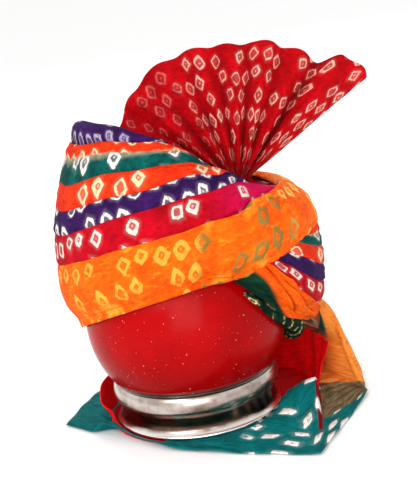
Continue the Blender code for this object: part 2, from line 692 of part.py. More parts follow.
def make_stand():
    """The red fold of the tail, which stands on its edge round the back of the foot and ends at the right."""
    material = material_of("red fold cloth", (0.60, 0.0, 0.01), 0.85)
    rows = []
    for share in (0, 0.33, 0.67, 1):
        row = []
        for stand in STANDS:
            turn = stand.foot_turn + (stand.top_turn - stand.foot_turn) * share
            out = POT_RADIUS * (stand.foot_out + (stand.top_out - stand.foot_out) * share)
            ground = [polar(stand.foot_turn, POT_RADIUS * stand.foot_out + wall, 0) for wall in (0, STAND_WALL)]
            foot = TAIL_WALL + STAND_GAP + STAND_CLIMB * max(hump_height(point) for point in ground)
            top = max(POT_MID * stand.height, foot + STAND_GAP)
            row.append(polar(turn, out, foot + (top - foot) * share))
        rows.append(row)
    sheet("tail_red_fold", rows, STAND_WALL, material, polar(120, 1, 0))


for old in list(bpy.data.objects):
    bpy.data.objects.remove(old)
turban = bpy.data.collections.new("turban")
bpy.context.scene.collection.children.link(turban)

make_pot()
make_collar()
make_core()
make_courses()
make_crown()
make_roll()
make_fan()
make_spread()
make_fall()
make_stand()
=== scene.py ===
"""A tied bandhej turban with its starched fan and its tail, on an upturned red pot with a steel collar."""

import math
from collections import namedtuple

import bmesh
import bpy
import numpy as np
from mathutils import Matrix, Vector


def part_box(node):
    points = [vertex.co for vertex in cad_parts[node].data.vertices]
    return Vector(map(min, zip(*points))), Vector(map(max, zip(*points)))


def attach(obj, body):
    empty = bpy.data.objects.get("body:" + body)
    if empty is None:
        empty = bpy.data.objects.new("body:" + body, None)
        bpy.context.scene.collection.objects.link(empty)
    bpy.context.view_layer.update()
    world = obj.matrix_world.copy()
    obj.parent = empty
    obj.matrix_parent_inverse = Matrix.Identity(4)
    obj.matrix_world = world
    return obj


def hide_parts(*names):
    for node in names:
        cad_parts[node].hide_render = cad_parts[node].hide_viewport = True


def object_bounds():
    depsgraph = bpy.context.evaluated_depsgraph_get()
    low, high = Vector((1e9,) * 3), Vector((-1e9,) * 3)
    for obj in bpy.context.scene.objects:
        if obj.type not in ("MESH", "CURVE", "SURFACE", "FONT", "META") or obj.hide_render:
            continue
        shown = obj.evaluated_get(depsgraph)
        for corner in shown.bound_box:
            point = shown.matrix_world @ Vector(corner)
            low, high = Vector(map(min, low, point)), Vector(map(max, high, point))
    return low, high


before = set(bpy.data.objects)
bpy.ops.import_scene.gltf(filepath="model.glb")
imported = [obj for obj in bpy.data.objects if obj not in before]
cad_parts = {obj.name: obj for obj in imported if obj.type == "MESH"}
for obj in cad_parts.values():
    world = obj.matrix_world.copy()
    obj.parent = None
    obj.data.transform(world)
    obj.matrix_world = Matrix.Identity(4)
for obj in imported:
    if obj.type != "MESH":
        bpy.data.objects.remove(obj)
cad_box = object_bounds()

# The camera looks at the turban's right front from a little above, a long lens away, and is tilted, so the pot seems
# to lean to the left.
LENS = 0.0975
CAMERA_AWAY = 1.3
CAMERA_TURN = math.radians(-40)
CAMERA_RISE = math.radians(22.5)
CAMERA_HEADING = math.radians(-41.37)
CAMERA_PITCH = math.radians(-16.09)
CAMERA_ROLL = math.radians(-8.1)
floor_level = cad_box[0].z
foot_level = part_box("pot_collar")[0].z



def add(name, data):
    piece = bpy.data.objects.new(name, data)
    bpy.context.collection.objects.link(piece)
    return piece


camera = add("camera", bpy.data.cameras.new("camera"))
bpy.context.scene.camera = camera
camera.data.lens = 1000 * LENS
outward = Vector((math.sin(CAMERA_TURN), -math.cos(CAMERA_TURN), 0)) * math.cos(CAMERA_RISE)
outward.z = math.sin(CAMERA_RISE)
camera.matrix_world = (
    Matrix.Translation(Vector((0, 0, foot_level)) + CAMERA_AWAY * outward)
    @ Matrix.Rotation(CAMERA_HEADING, 4, "Z")
    @ Matrix.Rotation(math.pi / 2 + CAMERA_PITCH, 4, "X")
    @ Matrix.Rotation(CAMERA_ROLL, 4, "Z")
)


# The studio is a pale floor that runs on out of sight, with a soft light up at the left, a wider one lower at the
# left front and a lamp behind that draws the fan's edge. These classes make its paper and every other material.
class Value:
    """A socket's value, so that the sums on it read like arithmetic."""

    def __init__(self, shader, socket):
        self.shader = shader
        self.socket = socket

    def apply(self, operation, *others):
        return self.shader.node("Math", {"operation": operation}, dict(enumerate(others)))

    def __add__(self, other):
        return self.apply("ADD", self, other)

    __radd__ = __add__

    def __mul__(self, other):
        return self.apply("MULTIPLY", self, other)

    __rmul__ = __mul__

    def __sub__(self, other):
        return self.apply("SUBTRACT", self, other)

    def __rsub__(self, other):
        return self.apply("SUBTRACT", other, self)

    def __abs__(self):
        return self.apply("ABSOLUTE", self)

    def __gt__(self, other):
        return self.apply("GREATER_THAN", self, other)

    def least(self, other):
        return self.apply("MINIMUM", self, other)

    def most(self, other):
        return self.apply("MAXIMUM", self, other)

    def floor(self):
        return self.apply("FLOOR", self)

    def fraction(self):
        return self.apply("FRACT", self)

    def between(self, low, high):
        """0 at low and 1 at high, eased at both ends. It falls where low is the greater."""
        inputs = {"Value": self, "From Min": low, "From Max": high}
        return self.shader.node("MapRange", {"interpolation_type": "SMOOTHSTEP"}, inputs)


class Shader:
    """One material and its nodes."""

    def __init__(self, name, roughness, **constants):
        self.material = bpy.data.materials.new(name)
        self.material.use_nodes = True
        self.nodes = self.material.node_tree.nodes
        self.links = self.material.node_tree.links
        self.surface = self.nodes["Principled BSDF"]
        self.set("Roughness", roughness)
        for socket, value in constants.items():
            self.set(socket.replace("_", " "), value)

    def set(self, socket, value):
        self.put(self.surface.inputs[socket], value)

    def put(self, socket, value):
        if isinstance(value, Value):
            self.links.new(value.socket, socket)
        elif socket.type == "RGBA":
            socket.default_value = (*value, 1)
        else:
            socket.default_value = value

    def node(self, kind, settings=None, inputs=None, output=0):
        """Any node: its settings first, then the values or links of its sockets."""
        new = self.nodes.new("ShaderNode" + kind)
        for name, value in (settings or {}).items():
            setattr(new, name, value)
        for socket, value in (inputs or {}).items():
            self.put(new.inputs[socket], value)
        return Value(self, new.outputs[output])

    def mix(self, mask, first, second, blend="MIX"):
        """The first colour where the mask is 0, and the second, or the first times the second, where it is 1."""
        return self.node("Mix", {"data_type": "RGBA", "blend_type": blend}, {0: mask, 6: first, 7: second}, 2)

    def noise(self, at, scale, detail=2.0, roughness=0.5):
        """Noise of one scale, or stretched by a scale for each axis."""
        if isinstance(scale, tuple):
            at, scale = self.vector_math("MULTIPLY", at, scale), 1.0
        return self.node("TexNoise", None, {"Vector": at, "Scale": scale, "Detail": detail, "Roughness": roughness})

    def place(self):
        return self.node("TexCoord", None, None, "Object")

    def map(self, name):
        return self.node("UVMap", {"uv_map": name})

    def parts(self, vector):
        split = self.node("SeparateXYZ", None, {0: vector}).socket.node
        return [Value(self, output) for output in split.outputs]

    def vector(self, x, y, z=0.0):
        return self.node("CombineXYZ", None, {0: x, 1: y, 2: z})

    def vector_math(self, operation, first, second):
        return self.node("VectorMath", {"operation": operation}, {0: first, 1: second})

    def raise_by(self, height, metres):
        self.set("Normal", self.node("Bump", None, {"Height": height, "Distance": metres}))


LAMP_AIM = Vector((0, 0, 0.15))


def lamp(name, width, energy, place):
    light = add(name, bpy.data.lights.new(name, "AREA"))
    light.data.shape = "SQUARE"
    light.data.size = width
    light.data.energy = energy
    light.location = place
    light.rotation_euler = (LAMP_AIM - Vector(place)).to_track_quat("-Z", "Y").to_euler()


def add_mesh(name, maker):
    piece = add(name, bpy.data.meshes.new(name))
    maker.to_mesh(piece.data)
    maker.free()
    return piece


FLOOR_REACH = 40.0
lamp("left softbox", 1.0, 16, (-1.9, -0.5, 1.5))
lamp("front softbox", 1.4, 23, (-1.45, -1.65, 0.75))
lamp("back strip", 0.8, 10, (0.9, 1.5, 1.3))

floor_mesh = bmesh.new()
bmesh.ops.create_grid(floor_mesh, x_segments=1, y_segments=1, size=FLOOR_REACH)
bmesh.ops.translate(floor_mesh, verts=floor_mesh.verts, vec=(0, 0, floor_level))
floor = add_mesh("studio_floor", floor_mesh)
paper = Shader("studio paper", 0.9)
paper.set("Base Color", paper.mix(paper.noise(paper.place(), 3.0), (0.95, 0.95, 0.95), (0.97, 0.97, 0.97)))
floor.data.materials.append(paper.material)

world = bpy.data.worlds.new("studio air")
bpy.context.scene.world = world
world.use_nodes = True
air = world.node_tree.nodes["Background"].inputs
air["Color"].default_value = (1.0, 0.995, 0.99, 1)
air["Strength"].default_value = 1.0
bpy.context.scene.view_settings.view_transform = "Standard"


# The pot is spun sheet metal, enamelled a deep glossy red. It stands upside down, so that its round bottom is the
# head. Dust and pinholes in the enamel catch the light.
POT_WALL = 0.0012
POT_SIDES = 128
POT_ROWS = 48
pot_low, pot_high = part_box("pot_body")
pot_radius = (pot_high.y - pot_low.y) / 2
pot_middle = pot_high.z - pot_radius
neck_angle = math.asin((pot_middle - pot_low.z) / pot_radius)


def spun(name, outline, sides):
    """A turned piece from its outline, a list of radii and heights, closed where it meets the axis."""
    maker = bmesh.new()
    points = [maker.verts.new((out, 0, height)) for out, height in outline]
    edges = [maker.edges.new(pair) for pair in zip(points, points[1:])]
    bmesh.ops.spin(
        maker, geom=points + edges, cent=(0, 0, 0), axis=(0, 0, 1), angle=2 * math.pi, steps=sides, use_merge=True
    )
    bmesh.ops.remove_doubles(maker, verts=maker.verts, dist=1e-6)
    bmesh.ops.recalc_face_normals(maker, faces=maker.faces)
    piece = add_mesh(name, maker)
    piece.data.shade_smooth()
    return piece


def belongs(piece, material, node):
    """A finished piece rides on the body, and has the finish of the solid that it replaces."""
    piece.data.materials.append(material)
    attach(piece, "root")
    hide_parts(node)


outside = []
inside = []
for row in range(POT_ROWS + 1):
    angle = math.pi / 2 - (math.pi / 2 + neck_angle) * row / POT_ROWS
    for outline, radius in ((outside, pot_radius), (inside, pot_radius - POT_WALL)):
        out = radius * math.cos(angle) if row else 0
        outline.append((out, pot_middle + radius * math.sin(angle)))
pot = spun("round_pot", outside + inside[::-1], POT_SIDES)

enamel = Shader("red enamel", 0.2, Coat_Weight=0.05, Coat_Roughness=0.20, Specular_IOR_Level=0.05)
place = enamel.place()
blotch = enamel.noise(place, 22.0, 4.0, 0.6)
haze = enamel.noise(place, 9.0, 3.0)
speck = enamel.noise(place, 520.0, 1.0).between(0.75, 0.80)
red = enamel.mix(blotch.between(0.35, 0.7), (0.30, 0.0, 0.001), (0.385, 0.0, 0.001))
# Painted shade: the red is darkened towards the pot's mouth.
low = enamel.parts(place)[2].between(pot_middle, pot_low.z)
red = enamel.mix(low * 0.6, red, (0.17, 0.0, 0.0))
enamel.set("Base Color", enamel.mix(speck * 0.75, red, (0.95, 0.45, 0.40)))
enamel.set("Roughness", 0.16 + 0.20 * haze + 0.25 * speck)
enamel.raise_by(enamel.noise(place, 160.0, 3.0), 0.00006)
belongs(pot, enamel.material, "pot_body")

# The pot's mouth is crimped into a polished steel collar: a groove under the enamel, a rounded band, a waist and a
# flared foot with a rolled edge. Handling has left it tarnished brown in blotches and streaks. Its waist and groove
# are painted dark as shade, and its rolled foot is painted near white as a highlight.
COLLAR_SIDES = 144
COLLAR_ROWS = 70
COLLAR_WALL = 0.0014
collar_low, collar_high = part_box("pot_collar")
collar_out = (collar_high.y - collar_low.y) / 2
collar_rise = collar_high.z - collar_low.z


def table(columns, *rows, defaults=()):
    """Rows with named columns. The last columns may have defaults."""
    row_kind = namedtuple("Row", columns, defaults=defaults)
    return [row_kind(*row) for row in rows]


RINGS = table(
    "out up",
    (0.955, 1.00),
    (0.944, 0.985),
    (0.940, 0.955),
    (0.948, 0.925),
    (0.968, 0.890),
    (0.988, 0.82),
    (0.998, 0.74),
    (1.000, 0.68),
    (0.995, 0.60),
    (0.975, 0.52),
    (0.948, 0.44),
    (0.932, 0.34),
    (0.926, 0.25),
    (0.934, 0.16),
    (0.955, 0.10),
    (0.978, 0.065),
    (0.990, 0.05),
    (0.994, 0.03),
    (0.990, 0.008),
    (0.982, 0.0),
)


def eased(places, values, at):
    """Smooth curves through the points, which never swing past them: one curve for all, or a row of values each."""
    places = np.asarray(places, float)
    at = np.clip(np.atleast_1d(np.asarray(at, float)), places[0], places[-1])
    values = np.broadcast_to(np.asarray(values, float), (len(at), len(places)))
    rises = np.diff(values, axis=1) / np.diff(places)
    before, after = rises[:, :-1], rises[:, 1:]
    product = before * after
    slopes = np.zeros(values.shape)
    slopes[:, 1:-1] = np.where(product > 0, 2 * product / np.where(product > 0, before + after, 1), 0)
    slopes[:, 0], slopes[:, -1] = rises[:, 0], rises[:, -1]
    i = np.clip(np.searchsorted(places, at, side="right") - 1, 0, len(places) - 2)
    n = np.arange(len(at))
    width = places[i + 1] - places[i]
    u = (at - places[i]) / width
    ends = (1 + 2 * u) * (1 - u) ** 2 * values[n, i] + u**2 * (3 - 2 * u) * values[n, i + 1]
    return ends + width * (u * (1 - u) ** 2 * slopes[n, i] - u**2 * (1 - u) * slopes[n, i + 1])


shares = np.linspace(0, 1, COLLAR_ROWS)
steps = np.linspace(0, 1, len(RINGS))
outs, ups = (eased(steps, values, shares) for values in zip(*RINGS))
collar_outline = list(zip(collar_out * outs, collar_low.z + collar_rise * ups))
collar_outline += [(out - COLLAR_WALL, up) for out, up in collar_outline[::-1]]
collar = spun("steel_collar", collar_outline + collar_outline[:1], COLLAR_SIDES)

steel = Shader("polished steel", 0.15, Metallic=1.0)
place = steel.place()
stain = steel.noise(place, 30.0, 5.0, 0.65)
rise = (steel.parts(place)[2] - collar_low.z) * (1 / collar_rise)
# Painted shade: the waist is darkened where it curves in, and the groove under the enamel is painted near black.
waist_shade = rise.between(0.62, 0.40) * rise.between(0.10, 0.20)
groove_shade = rise.between(0.90, 0.95)
streaks = steel.noise(place, (18.0, 18.0, 60.0), 4.0)
# Tarnish from the blotches and streaks, with the waist's painted shade added in.
tarnish_and_shade = (stain.between(0.42, 0.68) * 0.50 + streaks.between(0.42, 0.62) * 0.40 + waist_shade * 0.9).least(1.0)
metal = steel.mix(tarnish_and_shade, (0.66, 0.60, 0.55), (0.16, 0.085, 0.055))
metal = steel.mix(waist_shade * streaks.between(0.40, 0.60), metal, (0.05, 0.035, 0.028))
# Painted highlight: the rolled foot is painted near white.
metal = steel.mix(rise.between(0.13, 0.06), metal, (0.93, 0.90, 0.86))
steel.set("Base Color", steel.mix(groove_shade, metal, (0.025, 0.022, 0.012)))
brushed = steel.noise(place, (40.0, 40.0, 900.0))
steel.set("Roughness", 0.13 + 0.16 * stain + 0.08 * brushed)
steel.raise_by(brushed, 0.00002)
belongs(collar, steel.material, "pot_collar")


# The turban is one long cloth wound round and round the head. All its courses lie on one wound form, a section of
# which is set at each turn: 0 degrees is the wearer's front and 90 the wearer's left. Up the wall, 0 is the brim, 1
# the rim, 1.2 just inside it and 2 the crown.
HEAD_CLEARANCE = 0.0008
BRIM_PAD = 0.020
RIM_RISE = 0.103
CREST_RADIUS = 0.005
CREST_END = 1.2
CROWN_WALL = 0.006
CROWN_DOME = 0.004
WELL_FILL = 0.45
WELL_FLOOR = 0.62
WELL_ROUNDING = 0.004
head_radius = pot_radius + HEAD_CLEARANCE
pot_rise = pot_high.z - foot_level

SECTIONS = table(
    "turn brim pad low middle high rim_out rim",
    (0, 0.649, 0.62, 1.139, 1.150, 1.076, 0.897, 0.372),
    (12, 0.528, 0.57, 1.181, 1.192, 1.134, 0.960, 0.235),
    (24, 0.470, 0.61, 1.229, 1.255, 1.208, 1.013, 0.158),
    (36, 0.422, 0.71, 1.276, 1.308, 1.266, 1.065, 0.090),
    (48, 0.375, 0.81, 1.319, 1.350, 1.324, 1.113, 0.040),
    (66, 0.327, 0.81, 1.329, 1.371, 1.340, 1.129, 0.010),
    (90, 0.301, 0.73, 1.313, 1.361, 1.319, 1.118, 0.005),
    (120, 0.296, 0.61, 1.266, 1.319, 1.276, 1.076, 0.060),
    (150, 0.327, 0.41, 1.203, 1.255, 1.203, 0.992, 0.185),
    (180, 0.380, 0.21, 1.150, 1.197, 1.129, 0.897, 0.400),
    (210, 0.449, 0.09, 1.118, 1.139, 1.044, 0.807, 0.700),
    (234, 0.512, 0.06, 1.113, 1.081, 0.949, 0.754, 0.872),
    (258, 0.591, 0.06, 1.108, 1.086, 0.955, 0.759, 0.900),
    (282, 0.665, 0.06, 1.102, 1.092, 0.965, 0.781, 0.892),
    (306, 0.720, 0.06, 1.092, 1.092, 0.976, 0.796, 0.806),
    (330, 0.752, 0.06, 1.071, 1.092, 1.007, 0.828, 0.660),
    (348, 0.760, 0.06, 1.044, 1.087, 1.055, 0.870, 0.470),
)


def column(rows, name, turn):
    return eased([row.turn for row in rows], [getattr(row, name) for row in rows], turn)


def section(name, turn):
    turns = [row.turn + lap for lap in (-360, 0, 360) for row in SECTIONS]
    return eased(turns, [getattr(row, name) for row in SECTIONS] * 3, np.mod(turn, 360))


def polar(turn, out, height):
    angle = np.radians(turn)
    return np.stack([out * np.sin(angle), -out * np.cos(angle), height + 0 * angle], axis=-1)


def outline_at(turn, up):
    """Radius and height of the wound form."""
    brim = foot_level + pot_rise * section("brim", turn)
    rim = pot_high.z + RIM_RISE * section("rim", turn)
    brim_out = np.sqrt(head_radius**2 - np.maximum(brim - pot_middle, 0) ** 2)
    brim_out += BRIM_PAD * section("pad", turn)
    columns = ("low", "middle", "high", "rim_out")
    outs = np.stack([brim_out] + [head_radius * section(name, turn) for name in columns], axis=1)
    quarters = (0, 0.25, 0.5, 0.75, 1)
    wall_out = eased(quarters, outs, np.clip(up, 0, 1))
    wall_up = brim + (rim - brim) * np.minimum(up, 1)
    step = 0.001
    lean = np.arctan2(eased(quarters, outs, np.full(len(turn), 1 - step)) - outs[:, -1], (rim - brim) * step)
    middle_out = outs[:, -1] - CREST_RADIUS * np.cos(lean)
    middle_up = rim - CREST_RADIUS * np.sin(lean)
    angle = lean + (math.pi - lean) * (np.clip(up, 1, CREST_END) - 1) / (CREST_END - 1)
    crest_out = middle_out + CREST_RADIUS * np.cos(angle)
    crest_up = middle_up + CREST_RADIUS * np.sin(angle)
    inner = middle_out - CREST_RADIUS
    floor_out = WELL_FLOOR * inner
    dome = pot_middle + np.sqrt(head_radius**2 - floor_out**2) + CROWN_WALL
    floor_up = dome + WELL_FILL * (middle_up - dome)
    places = (CREST_END, 1.3, 1.45, 1.65, 2.0)
    well_outs = np.stack([inner, inner - 0.001, inner - 0.005, floor_out, 0 * inner], axis=1)
    crown = np.full(len(turn), pot_high.z + CROWN_WALL + CROWN_DOME)
    half_way = 0.6 * middle_up + 0.4 * floor_up
    well_ups = np.stack([middle_up, half_way, floor_up + WELL_ROUNDING, floor_up, crown], axis=1)
    inward = np.maximum(up, CREST_END)
    parts = [up <= 1, up <= CREST_END]
    legs = ((wall_out, crest_out, well_outs), (wall_up, crest_up, well_ups))
    return [np.select(parts, [wall, crest], eased(places, well, inward)) for wall, crest, well in legs]


def wound(turn, up, lift):
    """Points that stand off the wound form by a lift."""
    step = 0.004
    out, height = outline_at(turn, up)
    out_before, height_before = outline_at(turn, np.maximum(up - step, 0))
    out_after, height_after = outline_at(turn, np.minimum(up + step, 2))
    across, rise = out_after - out_before, height_after - height_before
    length = np.maximum(np.hypot(across, rise), 1e-9)
    return polar(turn, out + lift * rise / length, height - lift * across / length)


OVER_RIM = 1.09
COURSES = table(
    "turn orange crimson purple_low flame_low teal flame_up purple_up",
    (-12, 0.20, 0.28, 0.35, 0.42, 0.48, 0.53, 0.58),
    (0, 0.34, 0.42, 0.49, 0.56, 0.62, 0.67, 0.71),
    (12, 0.32, 0.43, 0.52, 0.59, 0.65, 0.70, 0.75),
    (24, 0.21, 0.36, 0.49, 0.60, 0.67, 0.74, 0.82),
    (36, 0.15, 0.31, 0.44, 0.57, 0.66, 0.75, 0.86),
    (48, 0.12, 0.30, 0.42, 0.57, 0.67, 0.77, 0.90),
    (72, 0.14, 0.31, 0.44, 0.58, 0.69, 0.81, 0.97),
    (110, 0.19, 0.33, 0.45, 0.57, 0.68, 0.80),
    (150, 0.23, 0.38, 0.50, 0.62, 0.73, 0.85),
    (190, 0.28, 0.43, 0.56, 0.67, 0.79, 0.89),
    (230, 0.34, 0.50, 0.625, 0.75, 0.87, 0.94),
    (252, 0.345, 0.495, 0.61, 0.74, 0.865, 0.93),
    (280, 0.37, 0.54, 0.655, 0.785, 0.90, 0.957),
    (303, 0.418, 0.60, 0.71, 0.84, 0.937, 0.99),
    (320, 0.47, 0.67, 0.79, 0.90, 0.99, 1.05),
    (337, 0.555, 0.77, 0.90, 0.98, 1.06),
    (350, 0.65, 0.88, 0.97, 1.06),
    (360, 0.80, 0.963, 1.06),
    (372, 0.93, 1.05),
    (384, 1.00),
    (396, 1.05),
    (420,),
    (492, 1.06),
    defaults=(OVER_RIM,) * 7,
)
SWEEP = table(
    "turn foot over top tuck",
    (-12, 0.00, 0, 0, 0),
    (336, 0.00, 0, 0, 0),
    (348, 0.02, 1, 0.37, 0),
    (360, 0.30, 1, 0.37, 0),
    (372, 0.51, 1, 0.37, 0),
    (384, 0.63, 1, 0.37, 0),
    (396, 0.70, 1, 0.37, 0),
    (408, 0.75, 1, 0.45, 0),
    (420, 0.77, 1, 0.45, 1),
    (432, 0.77, 1, 0.60, 1),
    (444, 0.76, 1, 1.00, 1),
    (480, 0.80, 1, 1.00, 1),
    (492, 0.88, 1, 1.00, 1),
)
PUCKERS = table(
    "turn across turn_end across_end wide deep",
    (-5, 0.94, 22, 0.16, 0.055, 0.0036),
    (5, 0.84, 37, 0.40, 0.045, 0.0028),
    (13, 0.97, 46, 0.68, 0.040, 0.0016),
    (-9, 0.62, 12, 0.10, 0.045, 0.0016),
)
LAP = 0.055
LEAST_WIDTH = 0.03
LEAST_WALL = 0.003
WALL_RISE = 0.155
MEAN_RADIUS = 0.108
COURSE_WALL = 0.0008
COURSE_LIFT = 0.0014
PUFF = 0.0030
MIDDLE_PUFF = 0.0012
TOP_FOLD = 0.0017
CREASES = 0.00065
GATHERED_WALL = 0.030
TOP_WANDER = 0.0035
OVER_LIFT = 0.0060
OVER_FOLD = 0.0022
TUCK_LIFT = 0.0032
FALL_FRONT = (424, 433)
FALL_BACK = (480, 468)
OVER_FALL_LIFT = 0.0062
EAR_CREASES = 0.0012
EAR_PUFF = 0.0010


def cloth(name, along, across, place, flat, shade=None):
    """A cloth from a grid: place gives each point from its shares along and across, and flat is the cut's size.
    One map holds the cloth's own metres, and the other its shares. Shade says how deep in a fold each point lies."""
    maker = bmesh.new()
    bmesh.ops.create_grid(maker, x_segments=along, y_segments=across, size=0.5)
    piece = add_mesh(name, maker)
    mesh = piece.data
    corners = np.empty(3 * len(mesh.vertices))
    mesh.vertices.foreach_get("co", corners)
    share = corners.reshape(-1, 3)[:, :2] + 0.5
    u, v = share.T
    mesh.vertices.foreach_set("co", place(u, v).ravel())
    if shade:
        mesh.attributes.new("Fold", "FLOAT", "POINT").data.foreach_set("value", shade(u, v))
    loop_points = np.empty(len(mesh.loops), int)
    mesh.loops.foreach_get("vertex_index", loop_points)
    for layer, size in (("Cloth", flat), ("Share", (1, 1))):
        uv = mesh.uv_layers.new(name=layer)
        uv.data.foreach_set("uv", (share[loop_points] * size).ravel())
    mesh.shade_smooth()
    mesh.update()
    return piece


def thicken(piece, wall, offset=1.0):
    solid = piece.modifiers.new("Thickness", "SOLIDIFY")
    solid.thickness = wall
    solid.offset = offset


def waves(x, y, seed, size):
    """Soft creases that run along x and wander, about as high as size."""
    chance = np.random.default_rng(seed)
    total = np.zeros(len(x))
    for length, height in ((0.017, 0.42), (0.0105, 0.30), (0.0068, 0.20), (0.0045, 0.10)):
        drift = chance.uniform(0.06, 0.16, 3)
        phase = chance.uniform(0, 2 * math.pi, 4)
        bend = sum(np.sin(2 * math.pi * x / d + p) for d, p in zip(drift, phase))
        swell = 0.6 + 0.4 * np.sin(2 * math.pi * x / (2.3 * drift[0]) + phase[3])
        total += height * swell * np.sin(2 * math.pi * y / length + 1.1 * bend + phase[0])
    return size * total


def smoothstep(low, high, value):
    share = np.clip((value - low) / (high - low), 0, 1)
    return share * share * (3 - 2 * share)


# The tie-dye is one recipe for every length of cloth. Each pinch of cloth was bound with thread before dyeing, so it
# stays pale in a wobbly hollow square with a dot in it, and keeps a little peak. The weave is a crinkled voile, with
# painted shade in the crinkle's hollows and painted highlight on its crests.
def pinches(dye, cloth_map, cell, seed, lean=0.0, left_out=0.28, hollow=0.205, ring=0.064, narrow=1.0):
    """Two masks: the pale marks, and the pinched peaks that they sit on."""
    grid = dye.vector_math("MULTIPLY", cloth_map, (1 / cell, 1 / (cell * narrow), 1.0))
    x, y = dye.parts(dye.vector_math("ADD", grid, (seed * 1.37, seed * 0.73, 0.0)))[:2]
    x = x + (y.floor() * 0.5).fraction()
    tile = dye.vector(x.floor(), y.floor(), float(seed))
    chance = dye.node("TexWhiteNoise", {"noise_dimensions": "3D"}, {"Vector": tile}, 1)
    first, second, third = dye.parts(chance)
    wobble = dye.noise(dye.vector(x, y, float(seed)), 2.6)
    wobble_too = dye.noise(dye.vector(y, x, 7.0 + seed), 2.6)
    near_x = x.fraction() - 0.5 + 0.28 * (first - 0.5) + 0.20 * (wobble - 0.5)
    near_y = y.fraction() - 0.5 + 0.28 * (second - 0.5) + 0.20 * (wobble_too - 0.5)
    turn = {0: dye.vector(near_x, near_y), "Angle": lean + 0.9 * (third - 0.5)}
    turned = dye.node("VectorRotate", {"rotation_type": "Z_AXIS"}, turn)
    along, up = dye.parts(turned)[:2]
    square = abs(along).most(abs(up))
    rounded = dye.node("VectorMath", {"operation": "LENGTH"}, {0: turned}, 1)
    reach = 0.66 * square + 0.30 * rounded
    size = hollow * (0.86 + 0.28 * second)
    thick = ring * (0.75 + 0.5 * first)
    band = (thick - abs(reach - size)).between(-0.020, 0.018)
    dot = reach.between(0.07, 0.03) * first.between(0.35, 0.5)
    kept = third > left_out
    streak = dye.noise(dye.vector(x, y, 3.0), 6.5, 3.0).between(0.27, 0.45)
    halo = reach.between(0.46, 0.20) * 0.12
    mark = (band * (0.30 + 0.70 * streak)).most(dot * 0.7).most(halo) * kept
    peak = reach.between(0.42, 0.05) * kept
    return mark, peak


def dyed(name, colour, deep, mark_colour, cell=0.0185, seed=1, blend=None, **pattern):
    """Dyed voile: a ground that dried a little uneven, its marks if they have a colour, and the weave's crinkle,
    whose hollows are painted darker as shade and whose crests are painted lighter as highlight.
    """
    dye = Shader(name + " voile", 0.82, Specular_IOR_Level=0.08)
    metres = dye.map("Cloth")
    cloudy = dye.noise(metres, 46.0, 4.0, 0.62)
    ground = dye.mix(cloudy.between(0.30, 0.72), deep, colour)
    if blend:
        ground, mark_colour = blend(dye, metres, ground, mark_colour, *dye.parts(dye.map("Share"))[:2])
    crinkle = dye.noise(metres, (130.0, 340.0, 1.0), 4.0, 0.62)
    # Painted shade in the crinkle's hollows, and painted highlight on its crests.
    ground = dye.mix(crinkle.between(0.54, 0.32), ground, (0.76, 0.66, 0.66), "MULTIPLY")
    ground = dye.mix(crinkle.between(0.54, 0.74), ground, (1.15, 1.30, 1.30), "MULTIPLY")
    thread = dye.noise(metres, (1800.0, 900.0, 1.0), 1.0)
    height = crinkle + 0.12 * thread
    if mark_colour:
        mark, peak = pinches(dye, metres, cell, seed, **pattern)
        ground = dye.mix(mark, ground, mark_colour)
        height = height + 1.1 * peak
    dye.set("Base Color", ground)
    dye.set("Roughness", 0.70 + 0.18 * crinkle)
    dye.raise_by(height, 0.0024)
    return dye.material


# The seven courses are strips of the one cloth, each folded along its top edge and lapped over the one above. They
# are put on from the top down, so the orange one lies outermost, and they are pulled together at the knot.
WHITE = (0.80, 0.70, 0.68)
CREAM = (0.88, 0.62, 0.36)
FLAME = (0.86, 0.045, 0.006)
FLAME_DEEP = (0.62, 0.018, 0.002)
PURPLE = (0.042, 0.007, 0.100)
PURPLE_DEEP = (0.016, 0.003, 0.042)
TEAL = (0.001, 0.110, 0.096)
TEAL_DEEP = (0.0, 0.040, 0.036)
CRIMSON = (0.56, 0.0, 0.012)
CRIMSON_DEEP = (0.34, 0.0, 0.005)
ORANGE = (0.94, 0.145, 0.003)
ORANGE_DEEP = (0.84, 0.075, 0.001)
YELLOW = (1.0, 0.38, 0.04)
BUFF = (0.84, 0.64, 0.56)
LILAC = (0.42, 0.34, 0.50)


def purple_edge(dye, metres, ground, mark, along, across):
    """The purple cloth's own top edge is dyed a little redder."""
    rough = dye.noise(metres, 60.0, 3.0)
    return dye.mix((across + 0.1 * rough).between(0.90, 1.02), ground, (0.16, 0.01, 0.09)), mark


def flame_edge(dye, metres, ground, mark, along, across):
    """Flame dye that ran pale and yellow at its lower edge."""
    rough = dye.noise(metres, 85.0, 3.0)
    pale = (across + 0.35 * (rough - 0.5)).between(0.34, 0.16)
    return dye.mix(pale * 0.7, ground, (0.90, 0.42, 0.20)), mark


def teal_edge(dye, metres, ground, mark, along, across):
    """Teal that fades through grey into cream where it meets the flame dye."""
    rough = dye.noise(metres, 85.0, 3.0)
    height = across + 0.40 * (rough - 0.5)
    faded = dye.mix(height.between(0.62, 0.84), ground, (0.20, 0.22, 0.15))
    return dye.mix(height.between(0.84, 1.0) * 0.8, faded, (0.80, 0.52, 0.30)), mark


def crimson_pink(dye, metres, ground, mark, along, across):
    """Crimson that turns pinker towards the knot."""
    return dye.mix(along.between(0.84, 0.93) * 0.8, ground, (0.66, 0.002, 0.10)), mark


